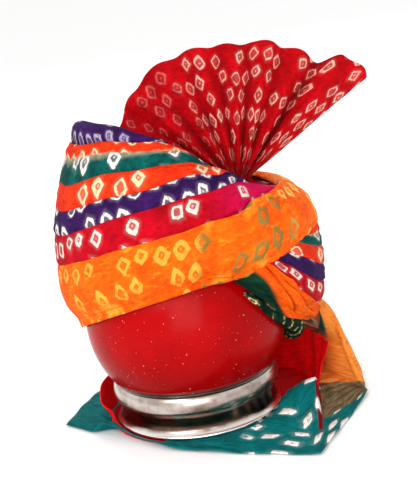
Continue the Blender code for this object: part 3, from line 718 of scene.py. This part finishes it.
def orange_green(dye, metres, ground, mark, along, across):
    """The orange cloth starts plain, with dark green at the brim's right. Its marks are yellow, then grey-green, then
    pale, and the yellow dye pooled along both edges. The lower hem is stitched, and the deep creases are painted dark
    red as shade."""
    rough = dye.noise(metres, (26.0, 60.0, 1.0), 4.0, 0.65)
    start = along.between(0.20, 0.16)
    reach = ((0.050 - along) * 15.0).least(0.8)
    green = (across - reach - 0.08 * (rough - 0.5)).between(0.14, -0.06)
    pool = dye.noise(metres, 34.0, 3.0, 0.6).between(0.52, 0.66)
    pool = pool * (across.between(0.30, 0.12) + across.between(0.70, 0.90)).least(1.0) * (1.0 - start)
    warm = dye.mix(pool * 0.75, ground, (1.0, 0.40, 0.03))
    pale_end = along.between(0.815, 0.845) * along.between(0.90, 0.86)
    warm = dye.mix(pale_end * 0.5, warm, (1.0, 0.36, 0.07))
    hem = abs(across - 0.105).between(0.012, 0.004) * along.between(0.5, 0.56) * along.between(0.80, 0.72)
    warm = dye.mix(hem * 0.6, warm, (0.50, 0.04, 0.0))
    tint = dye.mix(along.between(0.672, 0.684), mark, (0.30, 0.17, 0.03))
    tint = dye.mix(along.between(0.765, 0.79), tint, (0.98, 0.52, 0.10))
    leaf = dye.mix(rough.between(0.40, 0.62), (0.001, 0.016, 0.009), (0.003, 0.050, 0.022))
    streaky = dye.noise(metres, (70.0, 260.0, 1.0), 5.0, 0.7)
    warm = dye.mix(streaky.between(0.54, 0.68) * 0.55, warm, (1.0, 0.36, 0.02))
    warm = dye.mix(streaky.between(0.46, 0.34) * 0.45, warm, (0.90, 0.085, 0.0))
    stained = dye.mix(green, warm, leaf)
    # Painted shade: the deep creases of the first lap are darkened to dark red.
    fold = dye.node("Attribute", {"attribute_name": "Fold"}, None, "Fac")
    stained = dye.mix(fold * 0.85, stained, (0.30, 0.004, 0.0))
    return stained, dye.mix(start, tint, stained)


WOUND = table(
    "name node start end along across",
    ("orange", "band_orange", -12, 492, 620, 34),
    ("crimson", "band_crimson", 0, 396, 460, 26),
    ("purple_low", "band_purple_lower", 0, 372, 430, 24),
    ("flame_low", "band_flame_lower", 0, 360, 420, 24),
    ("teal", "band_teal", 0, 348, 400, 24),
    ("flame_up", "band_flame_upper", 0, 336, 400, 22),
    ("purple_up", "band_purple_upper", 0, 324, 380, 26),
)
TIE_DYES = {
    "orange": dyed("orange", ORANGE, ORANGE_DEEP, YELLOW, lean=0.5, ring=0.08, blend=orange_green),
    "crimson": dyed("crimson", CRIMSON, CRIMSON_DEEP, BUFF, seed=2, lean=0.3, left_out=0.22, blend=crimson_pink),
    "purple_low": dyed("purple", PURPLE, PURPLE_DEEP, WHITE, seed=3, lean=0.2, left_out=0.45, blend=purple_edge),
    "flame_low": dyed("flame", FLAME, FLAME_DEEP, CREAM, seed=4, lean=0.6, cell=0.021, left_out=0.40),
    "teal": dyed("teal", TEAL, TEAL_DEEP, WHITE, seed=5, lean=0.5, cell=0.020, left_out=0.25, blend=teal_edge),
    "flame_up": dyed("upper flame", FLAME, FLAME_DEEP, CREAM, seed=6, lean=0.4, left_out=0.4, blend=flame_edge),
    "purple_up": dyed("upper purple", PURPLE, PURPLE_DEEP, LILAC, seed=7, left_out=0.4, blend=purple_edge),
}


def puckers(turn, across):
    """How deep the creases are that pull the first lap together under the ear."""
    total = np.zeros(len(turn))
    for pucker in PUCKERS:
        share = (turn - pucker.turn) / (pucker.turn_end - pucker.turn)
        line = pucker.across + (pucker.across_end - pucker.across) * share
        inside = smoothstep(-0.05, 0.25, share) * smoothstep(1.10, 0.85, share)
        total = np.maximum(total, pucker.deep * inside * np.exp(-(((across - line) / pucker.wide) ** 2)))
    return total


def course_top(name, turn):
    return np.minimum(column(COURSES, name, turn), OVER_RIM)


def course_foot(layer, turn):
    """Where a course starts, a lap under the top edge of the course below it."""
    if layer == 0:
        return column(SWEEP, "foot", turn)
    below, name = WOUND[layer - 1].name, WOUND[layer].name
    edge = course_top(below, turn)
    under = column(SWEEP, "foot", turn) if layer == 1 else course_top(WOUND[layer - 2].name, turn)
    lap = np.minimum(LAP, 0.35 * np.minimum(course_top(name, turn) - edge, edge - under))
    return edge - np.maximum(lap, 0.15 * LAP)


def lay(layer, course):
    """The course's surface: tucked at its foot, puffed in its middle and folded under at its top edge."""

    def at(u, v):
        turn = course.start + (course.end - course.start) * u
        foot = course_foot(layer, turn)
        top = np.maximum(course_top(course.name, turn), foot + LEAST_WIDTH)
        up = foot + (top - foot) * eased((0, 0.12, 0.90, 0.965, 1.0), (0, 0.16, 0.975, 1.0, 0.985), v)
        wall = np.maximum((top - foot) * WALL_RISE, LEAST_WALL)
        along = u * np.radians(course.end - course.start) * MEAN_RADIUS
        across = v * wall
        shown = smoothstep(0.10, 0.30, v)
        lift = COURSE_LIFT + PUFF * shown + MIDDLE_PUFF * np.sin(np.pi * np.clip(v, 0, 1)) * shown
        lift -= TOP_FOLD * smoothstep(0.93, 1.0, v)
        gather = np.clip(GATHERED_WALL / wall, 0.8, 1.7)
        calm = smoothstep(0.02, 0.18, v) * smoothstep(1.0, 0.90, v)
        lift += waves(along, across * gather, layer + 1, CREASES) * (0.25 + 0.75 * calm) * gather
        wander = np.sin(along / 0.021 + 2.0 * np.sin(along / 0.05 + layer)) + 0.5 * np.sin(along / 0.008 + layer)
        up += TOP_WANDER * wander * smoothstep(0.75, 1.0, v) * np.minimum(1, (top - foot) / 0.2)
        if layer == 0:
            crossing = column(SWEEP, "over", turn)
            over = crossing * (1 - (1 - column(SWEEP, "top", turn)) * smoothstep(0.86, 1.0, v))
            tucked = column(SWEEP, "tuck", turn) * smoothstep(0.55, 0.25, v)
            lift += OVER_LIFT * over + TUCK_LIFT * tucked
            lift -= OVER_FOLD * crossing * smoothstep(0.06, 0.0, v)
            over_fall = smoothstep(*FALL_FRONT, turn) * smoothstep(*FALL_BACK, turn)
            lift += OVER_FALL_LIFT * over_fall * smoothstep(0.40, 0.0, v)
            ear_creases = np.sin(across / 0.0042 + 3 * np.sin(along / 0.03))
            lift += EAR_CREASES * smoothstep(70, 20, turn) * ear_creases * calm
            lift += EAR_PUFF * smoothstep(96, 40, turn) * calm - puckers(turn, v)
        return wound(turn, np.clip(up, 0, 1.999), lift)

    return at


def first_lap_shade(u, v):
    """How much painted shade lies in the deep creases of the orange cloth's first lap."""
    turn = WOUND[0].start + (WOUND[0].end - WOUND[0].start) * u
    return smoothstep(0.0010, 0.0030, puckers(turn, v))


for layer, course in enumerate(WOUND):
    turns = np.linspace(course.start, course.end, 80)
    widths = np.maximum(course_top(course.name, turns) - course_foot(layer, turns), LEAST_WIDTH) * WALL_RISE
    flat = (float(np.radians(course.end - course.start) * MEAN_RADIUS), float(np.mean(widths)))
    shade = first_lap_shade if layer == 0 else None
    strip = cloth(course.node + "_cloth", course.along, course.across, lay(layer, course), flat, shade)
    thicken(strip, COURSE_WALL)
    belongs(strip, TIE_DYES[course.name], course.node)

# Inside the courses the cloth is packed round the head in plain folds, painted dark red in their hollows as shade
# and lighter orange on their crests. Only a sliver of it shows at the crest and under the brim.
packing = Shader("packed cotton", 0.9)
folds = packing.noise(packing.place(), (30.0, 30.0, 420.0), 3.0)
# Painted shade: the colour follows the folds' height, dark red low and orange high.
packing.set("Base Color", packing.mix(folds, (0.34, 0.02, 0.015), (0.75, 0.10, 0.02)))
packing.raise_by(folds, 0.001)
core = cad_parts["wound_core"]
core.data.materials.clear()
core.data.materials.append(packing.material)

# The crown cloth lines the well. It is gathered towards the middle of the crown in soft spokes.
CROWN_FLAT = (0.46, 0.105)
CROWN_FROM = 1.05
CROWN_TO = 1.998
CROWN_LIFT = 0.0026
CROWN_GATHERS = 0.0009
LINING_WALL = 0.0007
SEAM_GAP = 0.00005


def crown_place(u, v):
    turn = 360 * u
    angle = np.radians(turn)
    spokes = np.sin(angle * 22 + 1.6 * np.sin(angle * 5) + 3.0 * v) + 0.5 * np.sin(angle * 41 + 2.0)
    lift = CROWN_LIFT + CROWN_GATHERS * spokes * smoothstep(0.10, 0.4, v) * smoothstep(1.0, 0.75, v)
    return wound(np.mod(turn, 360), CROWN_FROM + (CROWN_TO - CROWN_FROM) * v, lift)


crown = cloth("crown_lining", 360, 60, crown_place, CROWN_FLAT)
crown.modifiers.new("Seam", "WELD").merge_threshold = SEAM_GAP
thicken(crown, LINING_WALL, 0.0)
crown_dye = dyed("crown", CRIMSON, CRIMSON_DEEP, WHITE, seed=9, left_out=0.3)
belongs(crown, crown_dye, "crown_cloth")

# The start of the cloth is twisted tight and pushed under the brim, from the front to the left ear. Two strands of
# green with cream pinches turn round each other.
ROLL = table(
    "turn height size",
    (-4, 0.672, 0.30),
    (0, 0.640, 0.42),
    (5, 0.592, 0.52),
    (12, 0.528, 0.66),
    (22, 0.468, 0.80),
    (34, 0.404, 0.92),
    (44, 0.346, 1.04),
    (54, 0.300, 0.80),
)
ROLL_RADIUS = 0.0085
ROLL_TWISTS = 4.0
ROLL_FLAT = (0.125, 0.045)
ROLL_CLOSES = 0.93


def roll_line(u):
    turn = ROLL[0].turn + (ROLL[-1].turn - ROLL[0].turn) * u
    return turn, foot_level + pot_rise * column(ROLL, "height", turn)


def roll_place(u, v):
    turn, height = roll_line(u)
    size = ROLL_RADIUS * column(ROLL, "size", turn)
    out = np.sqrt((pot_radius + size) ** 2 - (height - pot_middle) ** 2)
    middles = polar(turn, out, height)
    turn_ahead, height_ahead = roll_line(np.clip(u + 0.01, 0, 1))
    along = polar(turn_ahead, out, height_ahead) - polar(turn - 1e-3, out, height)
    along /= np.maximum(np.linalg.norm(along, axis=1, keepdims=True), 1e-9)
    radial = polar(turn, np.ones(len(u)), np.zeros(len(u)))
    radial -= along * np.sum(radial * along, axis=1, keepdims=True)
    radial /= np.linalg.norm(radial, axis=1, keepdims=True)
    side = np.cross(along, radial)
    angle = 2 * math.pi * v
    twist = 2 * math.pi * ROLL_TWISTS * u
    lobes = 0.80 + 0.20 * np.abs(np.cos(angle - twist)) + 0.05 * np.cos(7 * angle + 3 * twist)
    close = np.sqrt(1 - ((u - ROLL_CLOSES) / (1 - ROLL_CLOSES)).clip(0, 1) ** 2)
    reach = (size * lobes * close)[:, None]
    return middles + reach * (np.cos(angle)[:, None] * radial + np.sin(angle)[:, None] * side)


roll = cloth("brim_roll_cloth", 150, 40, roll_place, ROLL_FLAT)
roll.modifiers.new("Seam", "WELD").merge_threshold = SEAM_GAP


def roll_green(dye, metres, ground, mark, along, across):
    """Green with a pale line along each strand, and painted shade, near black, in the grooves between the strands."""
    turns = (across * 2 - along * ROLL_TWISTS * 2).fraction()
    wet = dye.noise(metres, 90.0, 3.0)
    pale = abs(turns - 0.42).between(0.10, 0.03) * wet.between(0.42, 0.58)
    # Painted shade: a near-black line between the strands.
    shade = abs(turns - 0.5).between(0.40, 0.49)
    ground = dye.mix(pale * 0.8, ground, (0.62, 0.46, 0.18))
    return dye.mix(shade * 0.9, ground, (0.0, 0.003, 0.002)), mark


roll_dye = dyed(
    "roll", (0.003, 0.045, 0.020), (0.0, 0.008, 0.004), (0.72, 0.58, 0.26),
    cell=0.016, seed=11, left_out=0.45, blend=roll_green,
)
belongs(roll, roll_dye, "brim_roll")

# The fan is starched voile, folded to and fro like a paper fan and bound at its root, which is pushed down behind
# the rim. Its creases are crisp and its free edge ripples.
FAN_REACH = 0.126
FAN_FOLD = 0.0062
FAN_FACING = math.radians(-35)
FAN_TURN = 22.0
FAN_ROOT_INSET = 0.024
FAN_ROOT_RISE = 0.012
FAN_STEM = 0.013
STEM_SHARE = 0.10
STEM_DROP = 0.016
FAN_LEAN = 0.010
FAN_RIPPLE = 0.0012
FAN_FINE_RIPPLE = 0.0009
FAN_WALL = 0.0007
FAN_FLAT = (0.37, 0.145)
FOLDS = table(
    "angle reach forward",
    (150, 0.83, 0.0),
    (144, 0.88, 0.9),
    (137, 0.90, -0.8),
    (129, 0.95, 1.0),
    (121, 0.96, -1.0),
    (112, 0.995, 1.0),
    (105, 0.965, -0.9),
    (98, 0.985, 1.0),
    (91, 0.955, -1.0),
    (84, 0.965, 0.9),
    (77, 0.965, -1.0),
    (70, 1.00, 1.0),
    (64, 0.965, -0.9),
    (57, 0.995, 0.8),
    (49, 0.960, -1.5),
    (44, 1.105, 1.0),
    (38, 1.125, 0.7),
    (32, 1.095, 0.2),
)
fan_side = np.array([math.cos(FAN_FACING), math.sin(FAN_FACING), 0])
fan_front = np.array([math.sin(FAN_FACING), -math.cos(FAN_FACING), 0])
rim_out, rim_up = outline_at(np.array([FAN_TURN]), np.array([1.0]))
fan_root = polar(FAN_TURN, rim_out[0] - FAN_ROOT_INSET, rim_up[0] + FAN_ROOT_RISE)
fold_angles, fold_reaches, fold_forwards = zip(*FOLDS)


def creased(values, at):
    """Straight between the creases, with each crease a little rounded."""
    return sum(np.interp(at + shift, range(len(values)), values) for shift in (-0.16, -0.08, 0, 0.08, 0.16)) / 5


def fan_place(u, v):
    at = u * (len(FOLDS) - 1)
    angle = np.radians(creased(fold_angles, at))
    forward = creased(fold_forwards, at)
    reach = FAN_REACH * eased(range(len(FOLDS)), fold_reaches, at)
    station = np.clip((v - STEM_SHARE) / (1 - STEM_SHARE), 0, 1)
    stem = np.clip(1 - v / STEM_SHARE, 0, 1)
    spread = FAN_STEM * (2 * u - 1)
    length = reach * station
    depth = FAN_FOLD * forward * (0.80 + 0.20 * station) * smoothstep(-0.04, 0.26, station)
    depth += FAN_RIPPLE * np.sin(at * 2.2 + 9 * station) * station
    depth += FAN_FINE_RIPPLE * np.sin(37 * station + at * 1.7) * station**2
    length *= 1 + 0.012 * np.sin(at * 3.1 + 0.7) * station
    sideways = length * np.cos(angle) + spread * (1 - 0.4 * station) * (1 - 0.5 * stem)
    upward = length * np.sin(angle) + 0.004 * (1 - station) - STEM_DROP * stem
    lean = -FAN_LEAN * smoothstep(0.55, 0.0, u) * station**2
    points = fan_root + sideways[:, None] * fan_side + (depth + lean)[:, None] * fan_front
    points[:, 2] += upward
    return points


def fan_shade(u, v):
    """How far back in the pleats a point lies, which the fan's dye paints darker as shade."""
    return -creased(fold_forwards, u * (len(FOLDS) - 1)) * (1.25 - 0.75 * v)


fan = cloth("starched_fan", (len(FOLDS) - 1) * 16, 70, fan_place, FAN_FLAT, fan_shade)
thicken(fan, FAN_WALL, 0.0)


def fan_fade(dye, metres, ground, mark, along, across):
    """The marks are fainter on the fan's left. The dye is painted dark as shade where the pleats fold back and down
    in the gathers at the root, and the marks there are dimmed with it.
    """
    fold = dye.node("Attribute", {"attribute_name": "Fold"}, None, "Fac")
    # Painted shade: darker where the pleats fold back and towards the root.
    deep = (fold.between(0.10, 0.95) * 0.85).most(across.between(0.30, 0.10) * 0.6)
    rough = dye.noise(metres, 26.0, 3.0)
    faint = (along + 0.25 * (rough - 0.5)).between(0.42, 0.22)
    faint = (faint * 0.8).most(across.between(0.36, 0.14) * 0.9)
    return dye.mix(deep, ground, (0.15, 0.0, 0.002)), dye.mix(faint.most(deep * 0.7), mark, (0.45, 0.01, 0.02))


fan_dye = dyed(
    "fan", (0.55, 0.0, 0.005), (0.34, 0.0, 0.002), (0.88, 0.40, 0.32),
    cell=0.0172, seed=13, lean=0.75, narrow=1.1, hollow=0.235, ring=0.048, left_out=0.36, blend=fan_fade,
)
belongs(fan, fan_dye, "pleated_fan")

# The tail runs out from under the last course at the left, drops to the floor and spreads there, and the pot stands
# on it. The floor part lies in low waves, with one fold that stands up by the collar.
TAIL_LINE = math.radians(-40)
TAIL_OUT = 0.066
RIDGE_FROM = (0.43, -0.22)
RIDGE_TO = (0.686, -0.185)
RIDGE_LOW = 0.011
RIDGE_HIGH = 0.0225
RIDGE_RIGHT = 0.020
RIDGE_NEAR = 0.42
RIDGE_FAR = 0.078
RIDGE_STARTS = (0.505, 0.56)
EDGE_LEAN = 0.125
LIES_FREE = (0.50, 0.62)
TAIL_GAP = 0.0006
TAIL_RIPPLE = 0.0012
TAIL_WALL = 0.0008
TAIL_FLAT = (0.30, 0.215)
tail_reach = pot_radius + TAIL_OUT
SPREAD = table(
    "near_along near_across far_along far_across",
    (-0.806, 0.016, -0.545, 0.656),
    (-0.610, -0.190, -0.460, 0.680),
    (-0.450, -0.338, -0.375, 0.700),
    (-0.206, -0.563, -0.190, 0.725),
    (0.028, -0.680, 0.000, 0.740),
    (0.300, -0.800, 0.190, 0.740),
    (0.600, -0.916, 0.375, 0.720),
    (0.790, -0.556, 0.620, 0.640),
    (0.981, -0.194, 0.940, 0.310),
)


def tail_point(along, across, height):
    x = along * math.cos(TAIL_LINE) - across * math.sin(TAIL_LINE)
    y = along * math.sin(TAIL_LINE) + across * math.cos(TAIL_LINE)
    return np.stack([tail_reach * x, tail_reach * y, height], axis=-1)


def hump(along, across):
    """The fold that rises from the collar's edge to its peak, with a long slope in front and steep ones behind."""
    share = ((along - RIDGE_FROM[0]) / (RIDGE_TO[0] - RIDGE_FROM[0])).clip(0, 1)
    ridge = RIDGE_FROM[1] + (RIDGE_TO[1] - RIDGE_FROM[1]) * share
    high = RIDGE_LOW + (RIDGE_HIGH - RIDGE_LOW) * np.minimum(1.3 * share, 1)
    to_back = across - ridge
    to_side = np.maximum(along - EDGE_LEAN * (across - RIDGE_TO[1]) - RIDGE_TO[0], 0) / RIDGE_RIGHT
    far = np.hypot(to_side, to_back / np.where(to_back > 0, RIDGE_FAR, RIDGE_NEAR)).clip(0, 1)
    return high * np.cos(math.pi / 2 * far) ** 2 * smoothstep(*RIDGE_STARTS, np.hypot(along, across))


def spread_place(u, v):
    at = u * (len(SPREAD) - 1)
    rows = range(len(SPREAD))
    near_along, near_across, far_along, far_across = (np.interp(at, rows, values) for values in zip(*SPREAD))
    along = near_along + (far_along - near_along) * v
    across = near_across + (far_across - near_across) * v
    free = smoothstep(*LIES_FREE, np.hypot(along, across))
    ripple = np.sin(9 * along + 6 * across) + 0.6 * np.sin(17 * along - 9 * across + 1)
    ripple += 0.4 * np.sin(31 * across + 8 * along)
    height = floor_level + TAIL_GAP + free * (TAIL_RIPPLE * (1.4 + ripple)) + hump(along, across)
    return tail_point(along, across, height)


tail = cloth("tail_on_floor", 240, 150, spread_place, TAIL_FLAT)
thicken(tail, TAIL_WALL)
OLIVE_LEVEL = 0.0237
OLIVE_BLUR = 0.0008


def tail_levels(dye):
    """Where a point lies along and across the tail's line, and how high it is up the slope of the dye's edges."""
    x, y, z = dye.parts(dye.place())
    cosine = math.cos(TAIL_LINE) / tail_reach
    sine = math.sin(TAIL_LINE) / tail_reach
    turned_x = x * cosine + y * sine
    turned_y = y * cosine - x * sine
    return turned_x, turned_y, 0.915 * z + 0.063 * turned_y + 0.0235 * turned_x


def tail_patches(dye, metres, ground, mark, along, across):
    """Teal with marks only at its right front. It is red behind the fold, in a stripe by the collar and in the slit
    beside the fold, then olive, and orange where the fall comes down."""
    turned_x, turned_y, level = tail_levels(dye)
    rough = dye.noise(metres, 60.0, 4.0, 0.6) - 0.5
    murky = dye.noise(metres, 110.0, 4.0, 0.65)
    beside = turned_x - EDGE_LEAN * (turned_y - RIDGE_TO[1]) - RIDGE_TO[0]
    right = (beside + 0.01 * rough).between(0.014, 0.020)
    over = (turned_y - 0.88 * turned_x + 0.04 * rough).between(-1.067, -1.047)
    brown = dye.mix(murky.between(0.40, 0.62), (0.12, 0.105, 0.052), (0.26, 0.175, 0.085))
    olive = dye.mix(right * over, ground, brown)
    high = (level + 0.003 * rough).between(OLIVE_LEVEL - OLIVE_BLUR, OLIVE_LEVEL + OLIVE_BLUR)
    orange = dye.mix(right * high, olive, (0.92, 0.30, 0.05))
    slit = abs(beside - 0.010).between(0.014, 0.009)
    slit = slit * turned_y.between(-0.16, -0.20) * turned_y.between(-0.65, -0.60)
    patched = dye.mix(slit, orange, (0.20, 0.0, 0.003))
    behind = turned_y.between(-0.05, -0.03) * turned_x.between(0.30, 0.34) * (1.0 - right)
    patched = dye.mix(behind, patched, (0.60, 0.0, 0.002))
    square = turned_x * turned_x + turned_y * turned_y
    out = square.apply("SQRT", square) * tail_reach
    near_collar = (out + 0.003 * rough).between(collar_out + 0.0065, collar_out + 0.0055)
    stripe = near_collar * (turned_x + 0.3 * turned_y).between(-0.34, -0.36)
    patched = dye.mix(stripe, patched, (0.45, 0.0, 0.003))
    marked = turned_y.between(0.02, -0.05) * turned_x.between(0.18, 0.26)
    return patched, dye.mix(marked * (1.0 - right * over), patched, mark)


tail_dye = dyed(
    "tail", (0.0, 0.190, 0.190), (0.0, 0.115, 0.118), (0.92, 0.90, 0.84),
    cell=0.0215, seed=17, lean=0.3, narrow=0.72, ring=0.10, hollow=0.140, left_out=0.2, blend=tail_patches,
)
belongs(tail, tail_dye, "tail_spread")

# The fall is the stretch between the head and the floor: it lies on the courses, comes out under the orange one and
# hangs free. Its orange runs through olive into the teal of the tail.
LIES = [(up, (72, 84, 96, 108)) for up in (0.84, 0.72, 0.60, 0.48, 0.36)] + [(0.25, (66, 78, 91, 104))]
DROPS = table(
    "height front front_middle back_middle back",
    (0.66, (0.775, 0.160), (0.840, 0.130), (0.835, 0.320), (0.600, 0.590)),
    (0.33, (0.760, 0.270), (0.902, 0.040), (0.905, 0.240), (0.615, 0.590)),
    (0.13, (0.755, 0.270), (0.936, -0.040), (0.946, 0.160), (0.620, 0.580)),
    (0.00, (0.750, 0.250), (0.970, -0.140), (0.975, 0.090), (0.640, 0.560)),
)
FALL_LIFT = 0.0100
FALL_GAP = 0.0012
FALL_PLEATS = 0.0028
FALL_CREASES = 0.0004
FALL_FLAT = (0.062, 0.235)
fall_rows = []
for up, turns in LIES:
    fall_rows.append(wound(np.array(turns, float), np.full(4, up), np.full(4, FALL_LIFT)))
for drop in DROPS:
    along, across = np.transpose(drop[1:])
    height = foot_level + FALL_GAP + drop.height * (pot_middle - foot_level)
    fall_rows.append(tail_point(along, across, np.full(4, height)))
fall_rows = np.array(fall_rows)


def fall_place(u, v):
    at_row = v * (len(fall_rows) - 1)
    at_column = u * 3
    points = []
    for axis in range(3):
        columns = [eased(range(len(fall_rows)), fall_rows[:, k, axis], at_row) for k in range(4)]
        points.append(eased(range(4), np.stack(columns, axis=1), at_column))
    points = np.stack(points, axis=-1)
    turn = np.arctan2(points[:, 0], -points[:, 1])
    free = smoothstep(0.45, 0.75, v)
    pleat = FALL_PLEATS * np.sin(2 * math.pi * u * 3.2 + 2.5 * v) * free
    pleat += FALL_CREASES * np.sin(u * 31 + 4 * np.sin(6 * v))
    pleat *= smoothstep(1.0, 0.93, v)
    points[:, 0] += pleat * np.sin(turn)
    points[:, 1] -= pleat * np.cos(turn)
    return points


fall = cloth("tail_falling", 50, 160, fall_place, FALL_FLAT)
thicken(fall, TAIL_WALL)


def fall_blend(dye, metres, ground, mark, along, down):
    """Orange down to the floor, where olive begins, with a teal sliver on the front edge and olive at the back."""
    rough = dye.noise(metres, 70.0, 4.0) - 0.5
    murky = dye.noise(metres, 120.0, 4.0, 0.65)
    level = tail_levels(dye)[2]
    brown = dye.mix(murky.between(0.40, 0.62), (0.14, 0.115, 0.055), (0.30, 0.20, 0.095))
    low = (level + 0.003 * rough).between(OLIVE_LEVEL + OLIVE_BLUR, OLIVE_LEVEL - OLIVE_BLUR)
    olive = dye.mix(low.most((along + 0.1 * rough).between(0.74, 0.80)), ground, brown)
    sliver = along.between(0.17, 0.13) * down.between(0.48, 0.52) * down.between(0.78, 0.72)
    patched = dye.mix(sliver, olive, (0.004, 0.10, 0.085))
    return patched, dye.mix(along.between(0.62, 0.70), patched, mark)


fall_dye = dyed(
    "fall", (0.95, 0.33, 0.055), (0.88, 0.25, 0.030), (0.86, 0.70, 0.45),
    cell=0.018, seed=19, left_out=0.5, blend=fall_blend,
)
belongs(fall, fall_dye, "tail_fall")

# A red length of the tail stands on its edge round the back of the collar, and ends in the red corner at the right.
STANDS = table(
    "foot_turn top_turn foot_out top_out height",
    (-92, -92, 0.885, 0.895, 0.060),
    (-112, -112, 0.895, 0.935, 0.150),
    (-132, -132, 0.905, 0.975, 0.250),
    (-156, -156, 0.940, 1.020, 0.300),
    (-180, -180, 0.980, 1.060, 0.340),
    (-204, -204, 1.020, 1.095, 0.360),
    (-228, -228, 1.055, 1.130, 0.360),
    (-252, -252, 1.095, 1.170, 0.370),
    (-276, -276, 1.150, 1.235, 0.400),
    (-294, -294, 1.190, 1.300, 0.480),
    (-308, -304, 1.200, 1.350, 0.500),
    (-318, -313.5, 1.205, 1.360, 0.505),
)
STAND_GAP = 0.0030
STAND_BULGE = 3.5
STAND_WAVE = 0.0022
STAND_RIPPLE = 0.0010
STAND_TOP_WAVE = 0.0020
STAND_WALL = 0.0009
STAND_FLAT = (0.40, 0.040)


def stand_place(u, v):
    at = u * (len(STANDS) - 1)
    rows = range(len(STANDS))
    foot_turn, top_turn, foot_out, top_out, height = (eased(rows, values, at) for values in zip(*STANDS))
    turn = foot_turn + (top_turn - foot_turn) * v
    out = pot_radius * (foot_out + (top_out - foot_out) * v)
    out += STAND_WAVE * np.sin(at * 2.9 + 1.5 * v) * smoothstep(1.0, 0.85, u) * v
    turn = turn + STAND_BULGE * np.sin(math.pi * v) ** 2 * smoothstep(0.90, 1.0, u)
    out += STAND_RIPPLE * np.sin(at * 6.1 + 4 * v)
    foot = floor_level + STAND_GAP
    top = pot_middle * height + STAND_TOP_WAVE * np.sin(at * 2.3)
    return polar(turn, out, foot + (np.maximum(top, foot + 0.002) - foot) * v)


stand = cloth("red_fold_cloth", 300, 40, stand_place, STAND_FLAT)
thicken(stand, STAND_WALL)
stand_dye = dyed("red fold", (0.95, 0.0, 0.003), (0.90, 0.0, 0.002), None)
belongs(stand, stand_dye, "tail_red_fold")
